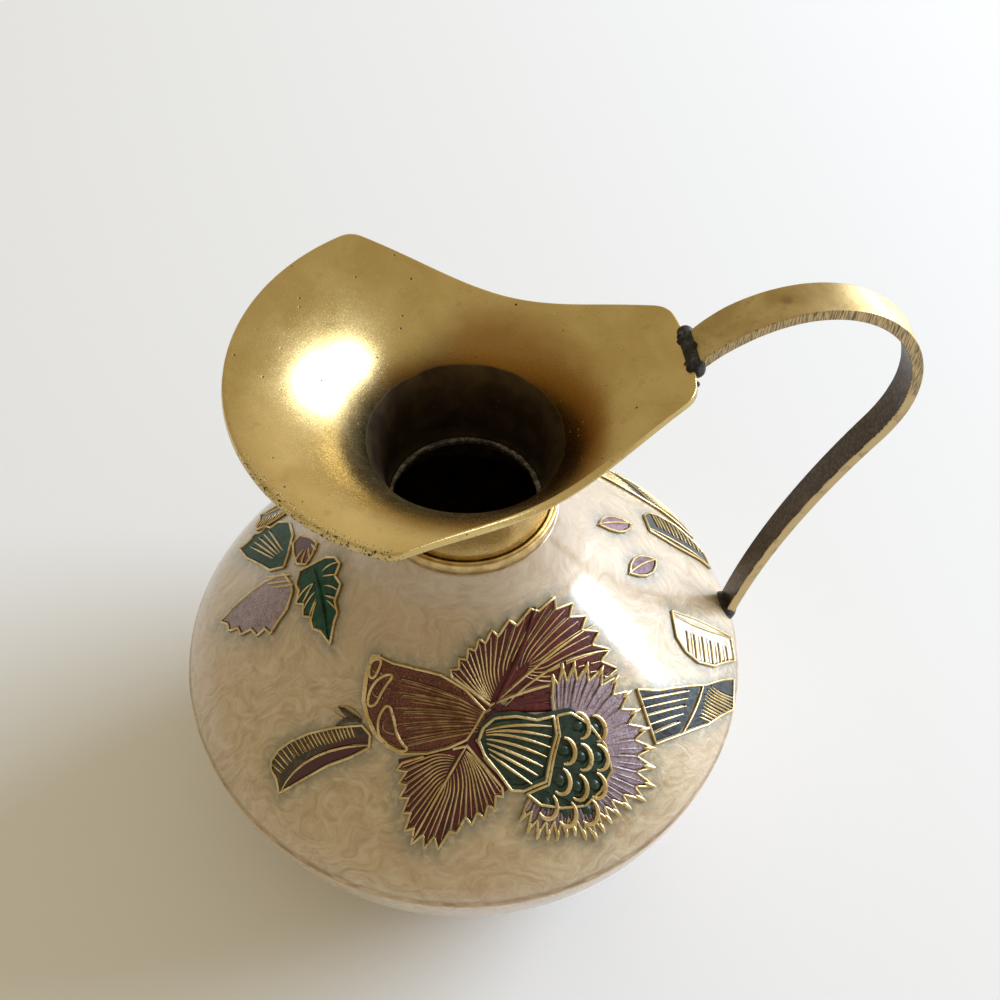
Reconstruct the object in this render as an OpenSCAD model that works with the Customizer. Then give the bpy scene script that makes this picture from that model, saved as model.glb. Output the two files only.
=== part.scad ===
// Enamelled brass pitcher: two brass half shells joined at the crease, a trumpet lip with
// trimmed sides, a bent strap handle, cream enamel grounds and raised flower cells.
// The spout points along -X, the handle along +X, and the foot stands on z = 0.

/* [Body] */
// Radius of the body at the crease between its two halves
crease_r = 62; // [58:0.5:68]
// Height of the crease above the table
crease_z = 42; // [40:0.5:46]
// Radius of the rounded shoulder above the crease
shoulder_arc = 36; // [32:1:40]
// Radius of the hollow curve that turns the shoulder into the neck
neck_arc = 25; // [22:1:28]
// Height of the bowl arc's centre above the crease
bowl_arc_rise = 3.5; // [2:0.25:5]
// Thickness of the brass wall
wall = 1.5; // [1.2:0.1:1.8]
// Thickness of the fired enamel ground
enamel_t = 0.6; // [0.4:0.05:0.8]
// Height of the soldered band that shows at the crease
seam_h = 1; // [0.6:0.1:1.4]

/* [Foot] */
// Height of the soldered foot ring
foot_h = 3; // [2.5:0.25:4]
// Outer radius of the foot ring
foot_r = 34; // [32:0.5:38]
// Width of the foot ring
foot_w = 3.6; // [3:0.2:4.5]
// Height of the slanted edge that the foot ring stands on
foot_edge = 0.8; // [0.4:0.1:1.2]
// How far the body's floor reaches past the foot ring
floor_edge = 2; // [1.5:0.25:4]

/* [Neck and lip] */
// Inner radius at the bottom of the trumpet lip
throat_r = 15.3; // [14:0.1:17]
// How far the flange that closes the neck reaches inside the lip's bore
flange_lip = 0.4; // [0.2:0.1:1.2]
// Straight length at the bottom of the trumpet lip
throat_h = 5.2; // [4.5:0.1:6]
// Radius of the first, gentle bend of the trumpet
throat_arc = 30; // [28:0.5:32]
// Radius of the second bend, which opens into the lip
flare_arc = 36; // [35.5:0.25:38]
// Thickness of the trumpet wall
lip_wall = 1.6; // [1.4:0.05:1.8]
// Radius of the spun disc that the lip was trimmed from
lip_r = 41.8; // [40:0.2:43]
// How far the disc lies towards the spout from the body's axis
lip_shift = 1; // [0.5:0.25:1.5]
// Distance of the two side trims from the body's axis
lip_trim = 27.3; // [26:0.2:28.5]
// Rounding of the two spout corners
spout_corner = 4.5; // [3:0.25:6]
// Rounding of the two corners beside the handle
tail_corner = 5; // [4:0.25:6]
// Width of the brass collar round the neck
collar_w = 1.3; // [1:0.1:1.8]
// How far the top of the neck stands out past the collar
collar_step = 0.1; // [0.05:0.05:0.5]
// Height of the brass collar
collar_h = 2.3; // [2:0.1:2.6]
// Radius of the two thin beads on the collar
bead_r = 0.3; // [0.2:0.05:0.3]
// Height of the ragged solder inside the neck
neck_solder_h = 0.8; // [0.6:0.1:1.2]
// Width of the ragged solder inside the neck
neck_solder_w = 0.9; // [0.7:0.1:1.2]

/* [Handle] */
// Thickness of the strap
strap_t = 2.4; // [2:0.1:2.8]
// Width of the strap where it leaves the lip
strap_root_w = 8.6; // [8:0.2:9.4]
// Width of the strap at its far bend
strap_bend_w = 6.2; // [5.8:0.1:6.6]
// Width of the strap at the body
strap_foot_w = 5; // [4.6:0.1:5.4]
// Radius of the strap's rise from the lip
strap_rise_arc = 28.4; // [27.8:0.1:29]
// Radius of the strap's large upper bend
strap_top_arc = 24.8; // [24.2:0.1:25.4]
// Radius of the bend that turns the strap back to the body
strap_back_arc = 34; // [33:0.5:35]
// Radius of the long hollow curve down to the body
strap_hollow_arc = 174; // [170:1:178]
// Height above the crease where the strap meets the body
strap_land_h = 2.2; // [1.6:0.2:4]
// Radius of the solder lumps where the strap meets the lip
top_solder_r = 1.7; // [1.4:0.1:2]
// Radius of the solder where the strap meets the body
foot_solder_r = 3.6; // [3.2:0.1:4]

/* [Ornament] */
// Height of the raised brass lines over the ground
line_h = 0.7; // [0.6:0.05:0.9]
// Height of the coloured enamel over the ground
fill_h = 0.35; // [0.25:0.05:0.45]
// Width of the raised brass lines round the cells
line_w = 0.6; // [0.5:0.05:0.7]
// Width of the finer brass lines inside the leaves and petals
vein_w = 0.5; // [0.4:0.05:0.6]

/* [Hidden] */
$fn = 96;

// Slopes of the profile, in degrees from level
crease_slope = 63;
shoulder_slope = 45;
neck_slope = 83.5;
flare_slope = 62;
// Slope of the lip's side trims in plan
trim_angle = 26;
// Heading of the strap where it leaves the lip, and the turn of each of its bends
strap_heading = 50;
strap_rise_turn = 44;
strap_top_turn = 112;
strap_back_turn = 13.5;
strap_hollow_turn = 20.5;
// One overrun for every cut
over = 1;
// Gap between the strap and what it is soldered to, and round the neck parts
solder_gap = 0.2;
// Degrees between the points of an arc
arc_step = 5;
// Least divisor where an outline is drawn in at a sharp corner, so that its point stays near
corner_limit = 0.3;
// Size of the tall blocks and prisms that cut the shells
tall = 3 * crease_r;

// Unit vector at an angle, the angle of a vector, and the points of an arc
function dir(a) = [cos(a), sin(a)];
function angle_of(v) = atan2(v.y, v.x);
function unit(v) = v / norm(v);
function last(list) = list[len(list) - 1];
function arc(c, r, a0, a1) = let (n = ceil(abs(a1 - a0) / arc_step))
    [for (i = [0:n]) c + r * dir(a0 + (a1 - a0) * i / n)];
function mirrored(pts) = concat(pts, [for (i = [len(pts) - 1:-1:0]) [pts[i].x, -pts[i].y]]);

// The collar fits round the lip's wall, and the top of the neck carries the collar
collar_in = throat_r + lip_wall + solder_gap;
collar_r = collar_in + collar_w;
neck_r = collar_r + collar_step;

// Centres of the body's arcs in the meridian plane, as [radius, height]. The straight run of
// the shoulder is as long as its rounded part and the neck leave it.
slope_n = [sin(shoulder_slope), cos(shoulder_slope)];
shoulder_c = [crease_r - shoulder_arc * sin(crease_slope), crease_z - shoulder_arc * cos(crease_slope)];
run_start = shoulder_c + shoulder_arc * slope_n;
run_end_r = neck_r + neck_arc * (sin(neck_slope) - slope_n.x);
run_end = [run_end_r, run_start.y + (run_start.x - run_end_r) * tan(shoulder_slope)];
neck_c = run_end + neck_arc * slope_n;
neck_z = neck_c.y - neck_arc * cos(neck_slope);

// The bowl's arc passes through the crease and the edge of the floor
floor_r = foot_r + floor_edge;
bowl_arc_h = crease_z + bowl_arc_rise - foot_h;
bowl_c = [(crease_r * crease_r - floor_r * floor_r - bowl_arc_h * bowl_arc_h
    + bowl_arc_rise * bowl_arc_rise) / (2 * (crease_r - floor_r)), crease_z + bowl_arc_rise];
bowl_arc = norm([crease_r, crease_z] - bowl_c);

// Centres of the trumpet's two arcs, and the unit vector into its wall where they meet
flare_n = [sin(flare_slope), -cos(flare_slope)];
throat_c = [throat_r + throat_arc, neck_z + throat_h];
flare_start = throat_c - throat_arc * flare_n;
flare_c = flare_start + flare_arc * flare_n;

// Half of the meridian plane inside the upper body, at a depth d below the enamel's surface.
// Its rounded shoulder, straight run and hollow neck overlap where they meet. A cut runs past
// both of its ends.
module upper_section(d, past = 0) {
    start = run_start - d * slope_n;
    end = run_end - d * slope_n;
    low = crease_z - past;
    intersection() {
        translate(shoulder_c) circle(r = shoulder_arc - d, $fn = 180);
        translate([0, low]) square([tall, start.y - low + over]);
    }
    translate([0, low]) square([shoulder_c.x, start.y - low]);
    polygon([[0, start.y - over], start - [0, over], start, end, [0, end.y]]);
    difference() {
        translate([0, end.y - over]) square([end.x, neck_z - end.y + over + past]);
        translate(neck_c) circle(r = neck_arc + d, $fn = 180);
    }
}

// Half of the meridian plane inside the bowl, from height z to the crease or past it
module bowl_section(d, z, past = 0) {
    intersection() {
        translate(bowl_c) circle(r = bowl_arc - d, $fn = 180);
        translate([0, z]) square([tall, crease_z + past - z]);
    }
    translate([0, z]) square([foot_r - foot_w, crease_z + past - z]);
}

// A skin of the upper body between two depths
module upper_skin(outer_d, inner_d) {
    rotate_extrude() difference() {
        upper_section(outer_d);
        upper_section(inner_d, over);
    }
}

// Half of the meridian plane behind the trumpet's inner face, at a depth d into its wall
module trumpet_section(d) {
    bend = flare_start + d * flare_n;
    translate([throat_r + d, neck_z]) square([throat_c.x - throat_r - d, throat_h]);
    intersection() {
        translate(throat_c) circle(r = throat_arc - d, $fn = 180);
        translate([0, throat_c.y - over]) square([throat_c.x, bend.y - throat_c.y + 2 * over]);
    }
    intersection() {
        translate(flare_c) circle(r = flare_arc - d, $fn = 180);
        translate([0, bend.y]) square([flare_c.x, flare_arc * 2]);
    }
}

// Plan outline of the trimmed lip: a disc with two straight side cuts and rounded corners
trim_n = [sin(trim_angle), cos(trim_angle)];
trim_t = [cos(trim_angle), -sin(trim_angle)];
lip_c = [-lip_shift, 0];
function corner_c(f, side) = let (h = lip_trim - f - trim_n * lip_c)
    lip_c + h * trim_n + side * sqrt((lip_r - f) * (lip_r - f) - h * h) * trim_t;
module lip_plan() {
    spout_q = corner_c(spout_corner, -1);
    tail_q = corner_c(tail_corner, 1);
    trim_a = 90 - trim_angle;
    spout_a = angle_of(spout_q - lip_c);
    tail_a = angle_of(tail_q - lip_c);
    polygon(mirrored(concat(
        arc(lip_c, lip_r, 180, spout_a),
        arc(spout_q, spout_corner, spout_a, trim_a),
        arc(tail_q, tail_corner, trim_a, tail_a),
        arc(lip_c, lip_r, tail_a, 0))));
}

// Path of the strap's outer face as it is bent: each sample is [x, z, heading]
function strap_bend(s, r, turn) = let (
        n = ceil(turn / arc_step),
        c = [s[0] + r * sin(s[2]), s[1] - r * cos(s[2])])
    [for (i = [1:n]) let (h = s[2] - sign(r) * turn * i / n) [c.x - r * sin(h), c.y + r * cos(h), h]];
lip_tail_x = lip_r - lip_shift;
rim_z = flare_c.y + sqrt(flare_arc * flare_arc - (flare_c.x - lip_tail_x) * (flare_c.x - lip_tail_x));
strap_0 = [[lip_tail_x + solder_gap, rim_z, strap_heading]];
strap_1 = concat(strap_0, strap_bend(last(strap_0), strap_rise_arc, strap_rise_turn));
strap_2 = concat(strap_1, strap_bend(last(strap_1), strap_top_arc, strap_top_turn));
strap_3 = concat(strap_2, strap_bend(last(strap_2), strap_back_arc, strap_back_turn));
strap_4 = concat(strap_3, strap_bend(last(strap_3), -strap_hollow_arc, strap_hollow_turn));
strap_top = max([for (s = strap_4) s[1]]);

// The middle of the strap's end is drawn to its place on the body. The leg follows, the more
// the lower it is, so that the strap still lands when the body or the lip changes.
strap_land_z = crease_z + strap_land_h;
strap_land = [shoulder_c.x + sqrt(shoulder_arc * shoulder_arc
    - (strap_land_z - shoulder_c.y) * (strap_land_z - shoulder_c.y)), strap_land_z];
strap_end = last(strap_4);
strap_end_mid = [strap_end[0] + strap_t / 2 * sin(strap_end[2]),
    strap_end[1] - strap_t / 2 * cos(strap_end[2])];
strap_draw = strap_land - strap_end_mid;
strap_path = [for (s = strap_4)
    let (share = s[2] > 0 ? 0 : (strap_top - s[1]) / (strap_top - strap_end[1]))
    [s[0] + share * strap_draw.x, s[1] + share * strap_draw.y, s[2]]];
strap_outer = [for (s = strap_path) [s[0], s[1]]];
strap_inner = [for (s = strap_path) [s[0] + strap_t * sin(s[2]), s[1] - strap_t * cos(s[2])]];
strap_reach = max([for (p = strap_outer) p.x]);
bend_z = strap_outer[len(strap_2) - 1].y;

// Moves the edges of an outline inwards by w, keeping them parallel
function area_sign(pts) = sign([for (i = 0, s = 0; i <= len(pts); s = s + (i < len(pts) ?
    pts[i].x * pts[(i + 1) % len(pts)].y - pts[i].y * pts[(i + 1) % len(pts)].x : 0), i = i + 1)
    if (i == len(pts)) s][0]);
function left_n(p, q) = let (e = unit(q - p)) [-e.y, e.x];
function inset(pts, w) = let (n = len(pts), side = area_sign(pts))
    [for (i = [0:n - 1]) let (
            a = left_n(pts[(i + n - 1) % n], pts[i]),
            b = left_n(pts[i], pts[(i + 1) % n]))
        pts[i] + side * w * (a + b) / max(1 + a * b, corner_limit)];

// A fan of pointed teeth round a base: its reach is given as shares by angle, and its notches by angle
function reach_at(table, a) = crease_r * lookup(a, table);
function fan(base, table, notches, notch_share) = concat([base],
    [for (i = [0:len(notches) - 2]) let (a = notches[i], tip = (notches[i] + notches[i + 1]) / 2) each [
            base + notch_share * reach_at(table, a) * dir(a),
            base + reach_at(table, tip) * dir(tip)]],
    [base + notch_share * reach_at(table, last(notches)) * dir(last(notches))]);

// A thin strip that follows a curve from p to q, drawn towards the point c
function curve_at(p, c, q, t) = (1 - t) * (1 - t) * p + 2 * t * (1 - t) * c + t * t * q;
function curve_n(p, c, q, t) = let (e = unit((1 - t) * (c - p) + t * (q - c))) [-e.y, e.x];
module vein(p, c, q, steps = 3) {
    polygon(concat(
        [for (i = [0:steps]) let (t = i / steps)
            curve_at(p, c, q, t) + vein_w / 2 * curve_n(p, c, q, t)],
        [for (i = [steps:-1:0]) let (t = i / steps)
            curve_at(p, c, q, t) - vein_w / 2 * curve_n(p, c, q, t)]));
}
module veins(shares, steps = 3) {
    for (v = shares) vein(crease_r * v[0], crease_r * v[1], crease_r * v[2], steps);
}

// Straight ribs, each from its foot to its head
module ribs(shares) {
    for (v = shares) vein(crease_r * v[0], crease_r * (v[0] + v[1]) / 2, crease_r * v[1], 1);
}

// Ribs of a fan, one to each of the notches given, from a share of the reach to the line round it
module fan_ribs(base, table, angles, foot_share, notch_share) {
    for (a = angles) {
        foot = base + foot_share * reach_at(table, a) * dir(a);
        head = base + (notch_share * reach_at(table, a) - line_w / 2) * dir(a);
        vein(foot, (foot + head) / 2, head, 1);
    }
}

// Lines inside a motif are cut off at its outline
module inside(outline) {
    intersection() {
        polygon(outline);
        children();
    }
}

// A teardrop that points at an angle
function teardrop(c, r, a) = concat([c + 2 * r * dir(a)], [for (b = [60:40:300]) c + r * dir(a + b)]);

// Outlines of the front flower in plan, as shares of the crease's radius
upper_leaf_base_share = [0, -0.55];
upper_leaf_reach_shares = [[12, 0.47], [20, 0.47], [30, 0.45], [36, 0.435], [42, 0.415], [48, 0.37],
    [55, 0.28], [63, 0.23], [72, 0.2], [83, 0.18], [97, 0.165], [114, 0.155], [129, 0.155], [145, 0.16]];
lower_leaf_base_share = [-0.08, -0.625];
lower_leaf_reach_shares = [[180, 0.24], [191, 0.24], [198, 0.255], [207, 0.265], [214, 0.285],
    [222, 0.305], [228, 0.295], [242, 0.27], [249, 0.235], [256, 0.205], [268, 0.195], [285, 0.185],
    [300, 0.175], [310, 0.17]];
petal_shares = [[-0.01, -0.555], [-0.07, -0.495], [-0.14, -0.45], [-0.21, -0.42], [-0.28, -0.385],
    [-0.32, -0.355], [-0.345, -0.345], [-0.37, -0.38], [-0.39, -0.445], [-0.385, -0.49],
    [-0.365, -0.54], [-0.33, -0.58], [-0.28, -0.615], [-0.21, -0.63], [-0.14, -0.63], [-0.08, -0.62],
    [-0.05, -0.595]];
cup_shares = [[-0.05, -0.62], [-0.03, -0.59], [0.01, -0.57], [0.08, -0.57], [0.145, -0.58],
    [0.205, -0.57], [0.21, -0.62], [0.185, -0.67], [0.16, -0.735], [0.08, -0.755], [0.04, -0.75],
    [0, -0.7], [-0.035, -0.66]];
scales_shares = [[0.205, -0.57], [0.26, -0.56], [0.32, -0.585], [0.37, -0.635], [0.385, -0.7],
    [0.34, -0.755], [0.28, -0.795], [0.2, -0.8], [0.13, -0.79], [0.08, -0.755], [0.16, -0.735],
    [0.185, -0.67], [0.21, -0.62]];
fan_base_share = [0.21, -0.675];
fan_reach_shares = [[-140, 0.205], [-123, 0.225], [-109, 0.21], [-83, 0.19], [-63, 0.23], [-48, 0.22],
    [-31, 0.245], [-22, 0.285], [-16, 0.315], [-11, 0.335], [-3, 0.33], [8, 0.345], [18, 0.345],
    [26, 0.335], [39, 0.34], [47, 0.325], [65, 0.27], [85, 0.225], [95, 0.175]];
ribbed_leaf_shares = [[-0.375, -0.535], [-0.4, -0.5], [-0.485, -0.475], [-0.575, -0.455],
    [-0.64, -0.45], [-0.685, -0.455], [-0.715, -0.475], [-0.72, -0.5], [-0.705, -0.535],
    [-0.7, -0.58], [-0.61, -0.575], [-0.53, -0.57], [-0.45, -0.575], [-0.385, -0.57]];
striped_leaf_shares = [[0.5, -0.47], [0.585, -0.455], [0.71, -0.41], [0.785, -0.385],
    [0.93, -0.305], [0.9, -0.425], [0.77, -0.52], [0.655, -0.575], [0.55, -0.62]];
curled_leaf_shares = [[0.69, -0.17], [0.8, -0.155], [0.9, -0.155], [0.955, -0.15], [0.95, -0.245],
    [0.84, -0.315], [0.77, -0.325], [0.72, -0.305], [0.69, -0.265], [0.69, -0.215]];

// Outlines of the sprig by the spout and the buds by the handle, as shares of the same radius
sprig_fan_shares = [[-0.605, 0.12], [-0.665, 0.16], [-0.7, 0.225], [-0.755, 0.325], [-0.785, 0.42],
    [-0.735, 0.43], [-0.72, 0.455], [-0.69, 0.435], [-0.67, 0.455], [-0.65, 0.42], [-0.62, 0.425],
    [-0.575, 0.365], [-0.565, 0.265], [-0.585, 0.175]];
sprig_long_shares = [[-0.555, 0.065], [-0.575, 0.01], [-0.565, -0.02], [-0.58, -0.06],
    [-0.555, -0.08], [-0.56, -0.12], [-0.535, -0.14], [-0.53, -0.18], [-0.505, -0.205],
    [-0.475, -0.265], [-0.45, -0.2], [-0.435, -0.18], [-0.44, -0.14], [-0.415, -0.1],
    [-0.43, -0.06], [-0.41, -0.03], [-0.425, 0.01], [-0.46, 0.04]];
sprig_lilac_shares = [[-0.58, 0.025], [-0.605, 0.1], [-0.68, 0.13], [-0.755, 0.13], [-0.805, 0.12],
    [-0.865, 0.095], [-0.835, 0.06], [-0.83, 0.025], [-0.795, 0.01], [-0.785, -0.025],
    [-0.745, -0.035], [-0.725, -0.075], [-0.695, -0.07], [-0.675, -0.105], [-0.645, -0.08],
    [-0.605, -0.055], [-0.58, -0.005]];
sprig_flower_shares = [[-0.575, 0.215], [-0.54, 0.235], [-0.5, 0.175], [-0.48, 0.125],
    [-0.5, 0.085], [-0.53, 0.06], [-0.565, 0.095], [-0.575, 0.155]];
bud_1_shares = [[0.455, 0.04], [0.62, 0.155]];
bud_2_shares = [[0.54, -0.11], [0.685, 0.025]];
bud_half_share = 0.037;

// Lines inside the motifs, each as [start, point that it is drawn towards, end]
upper_leaf_vein_shares = [[[0, -0.55], [0.12, -0.49], [0.375, -0.325]],
    [[0.05, -0.55], [0.2, -0.45], [0.42, -0.385]]];
lower_leaf_vein_shares = [[[-0.08, -0.625], [-0.16, -0.7], [-0.285, -0.82]]];
cup_vein_shares = [[[-0.02, -0.6], [0.05, -0.59], [0.19, -0.6]],
    [[-0.02, -0.61], [0.05, -0.61], [0.18, -0.65]],
    [[-0.02, -0.63], [0.04, -0.65], [0.15, -0.695]],
    [[-0.015, -0.655], [0.02, -0.68], [0.11, -0.735]]];
ribbed_leaf_vein_shares = [[[-0.71, -0.6], [-0.64, -0.47], [-0.34, -0.575]]];
striped_leaf_vein_shares = [[[0.79, -0.36], [0.735, -0.49], [0.62, -0.61]],
    [[0.47, -0.515], [0.6, -0.475], [0.71, -0.43]], [[0.48, -0.56], [0.6, -0.515], [0.69, -0.48]],
    [[0.55, -0.585], [0.6, -0.56], [0.655, -0.535]], [[0.81, -0.385], [0.84, -0.415], [0.95, -0.365]],
    [[0.79, -0.405], [0.82, -0.43], [0.94, -0.395]], [[0.775, -0.425], [0.81, -0.45], [0.93, -0.42]],
    [[0.765, -0.45], [0.8, -0.47], [0.9, -0.45]], [[0.755, -0.475], [0.79, -0.485], [0.86, -0.475]],
    [[0.74, -0.5], [0.77, -0.505], [0.82, -0.5]]];
curled_leaf_vein_shares = [[[0.66, -0.185], [0.81, -0.205], [1, -0.15]]];

// Short ribs, each as [foot, head]; the heads run past the outline, and are cut off there
ribbed_leaf_rib_shares = [[[-0.68, -0.525], [-0.725, -0.47]], [[-0.655, -0.515], [-0.7, -0.445]],
    [[-0.63, -0.505], [-0.665, -0.44]], [[-0.6, -0.505], [-0.635, -0.435]],
    [[-0.575, -0.505], [-0.605, -0.44]], [[-0.55, -0.505], [-0.58, -0.44]],
    [[-0.525, -0.51], [-0.555, -0.445]], [[-0.5, -0.515], [-0.525, -0.455]],
    [[-0.475, -0.52], [-0.495, -0.46]], [[-0.455, -0.52], [-0.47, -0.47]],
    [[-0.43, -0.525], [-0.445, -0.475]]];
curled_leaf_rib_shares = [[[0.745, -0.225], [0.735, -0.34]], [[0.775, -0.225], [0.765, -0.34]],
    [[0.81, -0.22], [0.8, -0.34]], [[0.845, -0.22], [0.835, -0.34]],
    [[0.88, -0.215], [0.87, -0.32]], [[0.915, -0.21], [0.91, -0.3]]];
petal_rib_shares = [[[-0.09, -0.52], [-0.27, -0.435]], [[-0.09, -0.54], [-0.27, -0.475]],
    [[-0.09, -0.56], [-0.27, -0.515]], [[-0.095, -0.58], [-0.27, -0.555]],
    [[-0.1, -0.6], [-0.27, -0.595]]];
sprig_fan_rib_shares = [[[-0.65, 0.215], [-0.735, 0.38]], [[-0.63, 0.215], [-0.7, 0.4]],
    [[-0.61, 0.215], [-0.66, 0.4]]];
sprig_long_rib_shares = [[[-0.51, -0.03], [-0.56, -0.08]], [[-0.505, -0.09], [-0.54, -0.14]],
    [[-0.475, -0.03], [-0.425, -0.06]], [[-0.475, -0.1], [-0.435, -0.14]]];
petal_drop_shares = [[-0.34, -0.375], [-0.345, -0.435], [-0.325, -0.53]];
petal_drop_share = 0.022;
petal_drop_angle = -60;

// Angles of the notches between the teeth, and the share of the reach that they leave
upper_leaf_notches = concat([for (a = [12:6.5:51]) a], [for (a = [60:14:144]) a]);
lower_leaf_notches = concat([for (a = [180:8:236]) a], [for (a = [247:13:312]) a]);
fan_notches = [for (a = [-140:9:94]) a];
leaf_notch_share = 0.88;
fan_notch_share = 0.82;
// Angles of the ribs, which run out to notches, and the share of the reach where they start
upper_leaf_ribs = concat([for (a = [38:6.5:51]) a], [for (a = [60:14:130]) a]);
lower_leaf_ribs = concat([for (a = [188:8:212]) a], [for (a = [236:11:247]) a], [for (a = [260:13:299]) a]);
leaf_rib_share = 0.5;
fan_rib_share = 0.62;

upper_leaf = fan(crease_r * upper_leaf_base_share, upper_leaf_reach_shares, upper_leaf_notches,
    leaf_notch_share);
lower_leaf = fan(crease_r * lower_leaf_base_share, lower_leaf_reach_shares, lower_leaf_notches,
    leaf_notch_share);
fan_petals = fan(crease_r * fan_base_share, fan_reach_shares, fan_notches, fan_notch_share);
bell_petal = crease_r * petal_shares;
thistle_cup = crease_r * cup_shares;
thistle_scales = crease_r * scales_shares;
ribbed_leaf = crease_r * ribbed_leaf_shares;
striped_leaf = crease_r * striped_leaf_shares;
curled_leaf = crease_r * curled_leaf_shares;
sprig_fan = crease_r * sprig_fan_shares;
sprig_long = crease_r * sprig_long_shares;
sprig_lilac = crease_r * sprig_lilac_shares;
sprig_flower = crease_r * sprig_flower_shares;

// A bud is the lens between two arcs that meet at its tips
function bud(tips) = let (
        p = crease_r * tips[0],
        q = crease_r * tips[1],
        n = crease_r * bud_half_share * left_n(p, q))
    concat(
        [for (t = [0:0.2:0.8]) p + t * (q - p) + 4 * t * (1 - t) * n],
        [for (t = [1:-0.2:0.2]) p + t * (q - p) - 4 * t * (1 - t) * n]);

// The line round a motif, and the cell inside it; the children are the motifs that lie over it
module rim(outline) {
    difference() {
        polygon(outline);
        polygon(inset(outline, line_w));
        children();
    }
}
module cell(outline) {
    difference() {
        polygon(inset(outline, line_w));
        children();
    }
}

// A plan outline carried up through the body's upper half
module in_plan() {
    translate([0, 0, crease_z + seam_h / 2]) linear_extrude(height = tall) children();
}

// Brass lines stand on the brass shell and rise over the ground
module brass_line() {
    color("gold") intersection() {
        upper_skin(-line_h, enamel_t);
        in_plan() children();
    }
}

// Coloured enamel fills the cells between the lines down to the shell
module enamel_fill(shade) {
    color(shade) intersection() {
        upper_skin(-fill_h, enamel_t);
        in_plan() children();
    }
}

// The scales of the thistle stand in rows, and each row covers the feet of the next
scale_hub_share = [0.03, -0.63];
scale_rows_shares = [[0.2, -52, -8, 3], [0.255, -44, 8, 4], [0.31, -34, 6, 4]];
scale_share = 0.026;
function scale_places() = [for (row = scale_rows_shares) for (i = [0:row[3] - 1])
    let (a = row[1] + (row[2] - row[1]) * i / (row[3] - 1))
    [crease_r * (scale_hub_share + row[0] * dir(a)), a + 180]];
module scale_cells() {
    for (place = scale_places()) polygon(teardrop(place[0], crease_r * scale_share, place[1]));
}

module over_upper_leaf() {
    polygon(fan_petals);
    over_lower_leaf();
}
module over_lower_leaf() {
    polygon(bell_petal);
    over_fan();
}
module over_fan() {
    polygon(thistle_cup);
    polygon(thistle_scales);
}
module over_striped_leaf() {
    polygon(fan_petals);
}
module flower_outlines() {
    polygon(upper_leaf);
    polygon(lower_leaf);
    over_upper_leaf();
    polygon(ribbed_leaf);
    polygon(striped_leaf);
    polygon(curled_leaf);
}
module sprig_outlines() {
    polygon(sprig_fan);
    polygon(sprig_long);
    polygon(sprig_lilac);
    polygon(sprig_flower);
}

module foot_ring() {
    color("goldenrod") rotate_extrude() difference() {
        translate([foot_r - foot_w, 0]) square([foot_w, foot_h]);
        polygon([[foot_r - foot_edge, 0], [foot_r, foot_edge], [foot_r + over, -over]]);
    }
}

module lower_bowl() {
    color("goldenrod") rotate_extrude() difference() {
        bowl_section(enamel_t, foot_h);
        bowl_section(enamel_t + wall, foot_h + wall, over);
    }
}

// The upper half shell, with the flange at its top that carries the lip
module upper_shell() {
    color("goldenrod") {
        upper_skin(enamel_t, enamel_t + wall);
        rotate_extrude() intersection() {
            upper_section(enamel_t);
            translate([throat_r - flange_lip, neck_z - wall]) square([neck_r, wall]);
        }
    }
}

// The band of solder that shows between the two enamel grounds
module seam_solder() {
    color("darkgoldenrod") rotate_extrude() {
        intersection() {
            difference() {
                upper_section(0);
                upper_section(enamel_t, over);
            }
            translate([0, crease_z]) square([tall, seam_h / 2]);
        }
        intersection() {
            difference() {
                bowl_section(0, foot_h);
                bowl_section(enamel_t, foot_h - over, over);
            }
            translate([0, crease_z - seam_h / 2]) square([tall, seam_h / 2]);
        }
    }
}

module neck_collar() {
    color("goldenrod") rotate_extrude() {
        translate([collar_in, neck_z]) square([collar_r - collar_in, collar_h]);
        translate([collar_in + bead_r, neck_z + collar_h]) circle(r = bead_r, $fn = 24);
        translate([collar_r - bead_r, neck_z + collar_h]) circle(r = bead_r, $fn = 24);
    }
}

module trumpet_lip() {
    color("gold") intersection() {
        rotate_extrude() difference() {
            trumpet_section(0);
            trumpet_section(lip_wall);
        }
        translate([0, 0, neck_z]) linear_extrude(height = tall) lip_plan();
    }
}

// Solder that ran inwards under the lip, with a ragged edge
solder_edge_shares = [0, 0.5, 0.2, 0.9, 0.4, 0, 0.7, 0.3, 1, 0.5, 0.1, 0.8, 0.3, 0.6, 0, 0.9, 0.2, 0.5];
module neck_solder() {
    outer = throat_r - solder_gap;
    n = len(solder_edge_shares);
    color("darkgray") translate([0, 0, neck_z]) linear_extrude(height = neck_solder_h) difference() {
        circle(r = outer);
        polygon([for (i = [0:n - 1])
            (outer - neck_solder_w + neck_solder_w / 2 * solder_edge_shares[i]) * dir(360 * i / n)]);
    }
}

// The strap as bent, before its sides are tapered
module strap_blank() {
    rotate([90, 0, 0]) linear_extrude(height = 2 * strap_root_w, center = true)
        polygon(concat(strap_outer, [for (i = [len(strap_inner) - 1:-1:0]) strap_inner[i]]));
}

module handle_strap() {
    color("goldenrod") difference() {
        intersection() {
            strap_blank();
            translate([0, 0, crease_z]) linear_extrude(height = tall) polygon(mirrored([
                [lip_tail_x, -strap_root_w / 2], [strap_reach, -strap_bend_w / 2],
                [strap_reach + over, -strap_bend_w / 2]]));
            rotate([90, 0, 90]) linear_extrude(height = tall) polygon([
                [-strap_foot_w / 2, crease_z], [-strap_bend_w / 2, bend_z], [-strap_root_w / 2, strap_top],
                [-strap_root_w / 2, strap_top + over], [strap_root_w / 2, strap_top + over],
                [strap_root_w / 2, strap_top], [strap_bend_w / 2, bend_z], [strap_foot_w / 2, crease_z]]);
        }
        rotate_extrude() upper_section(-solder_gap);
    }
}

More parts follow.
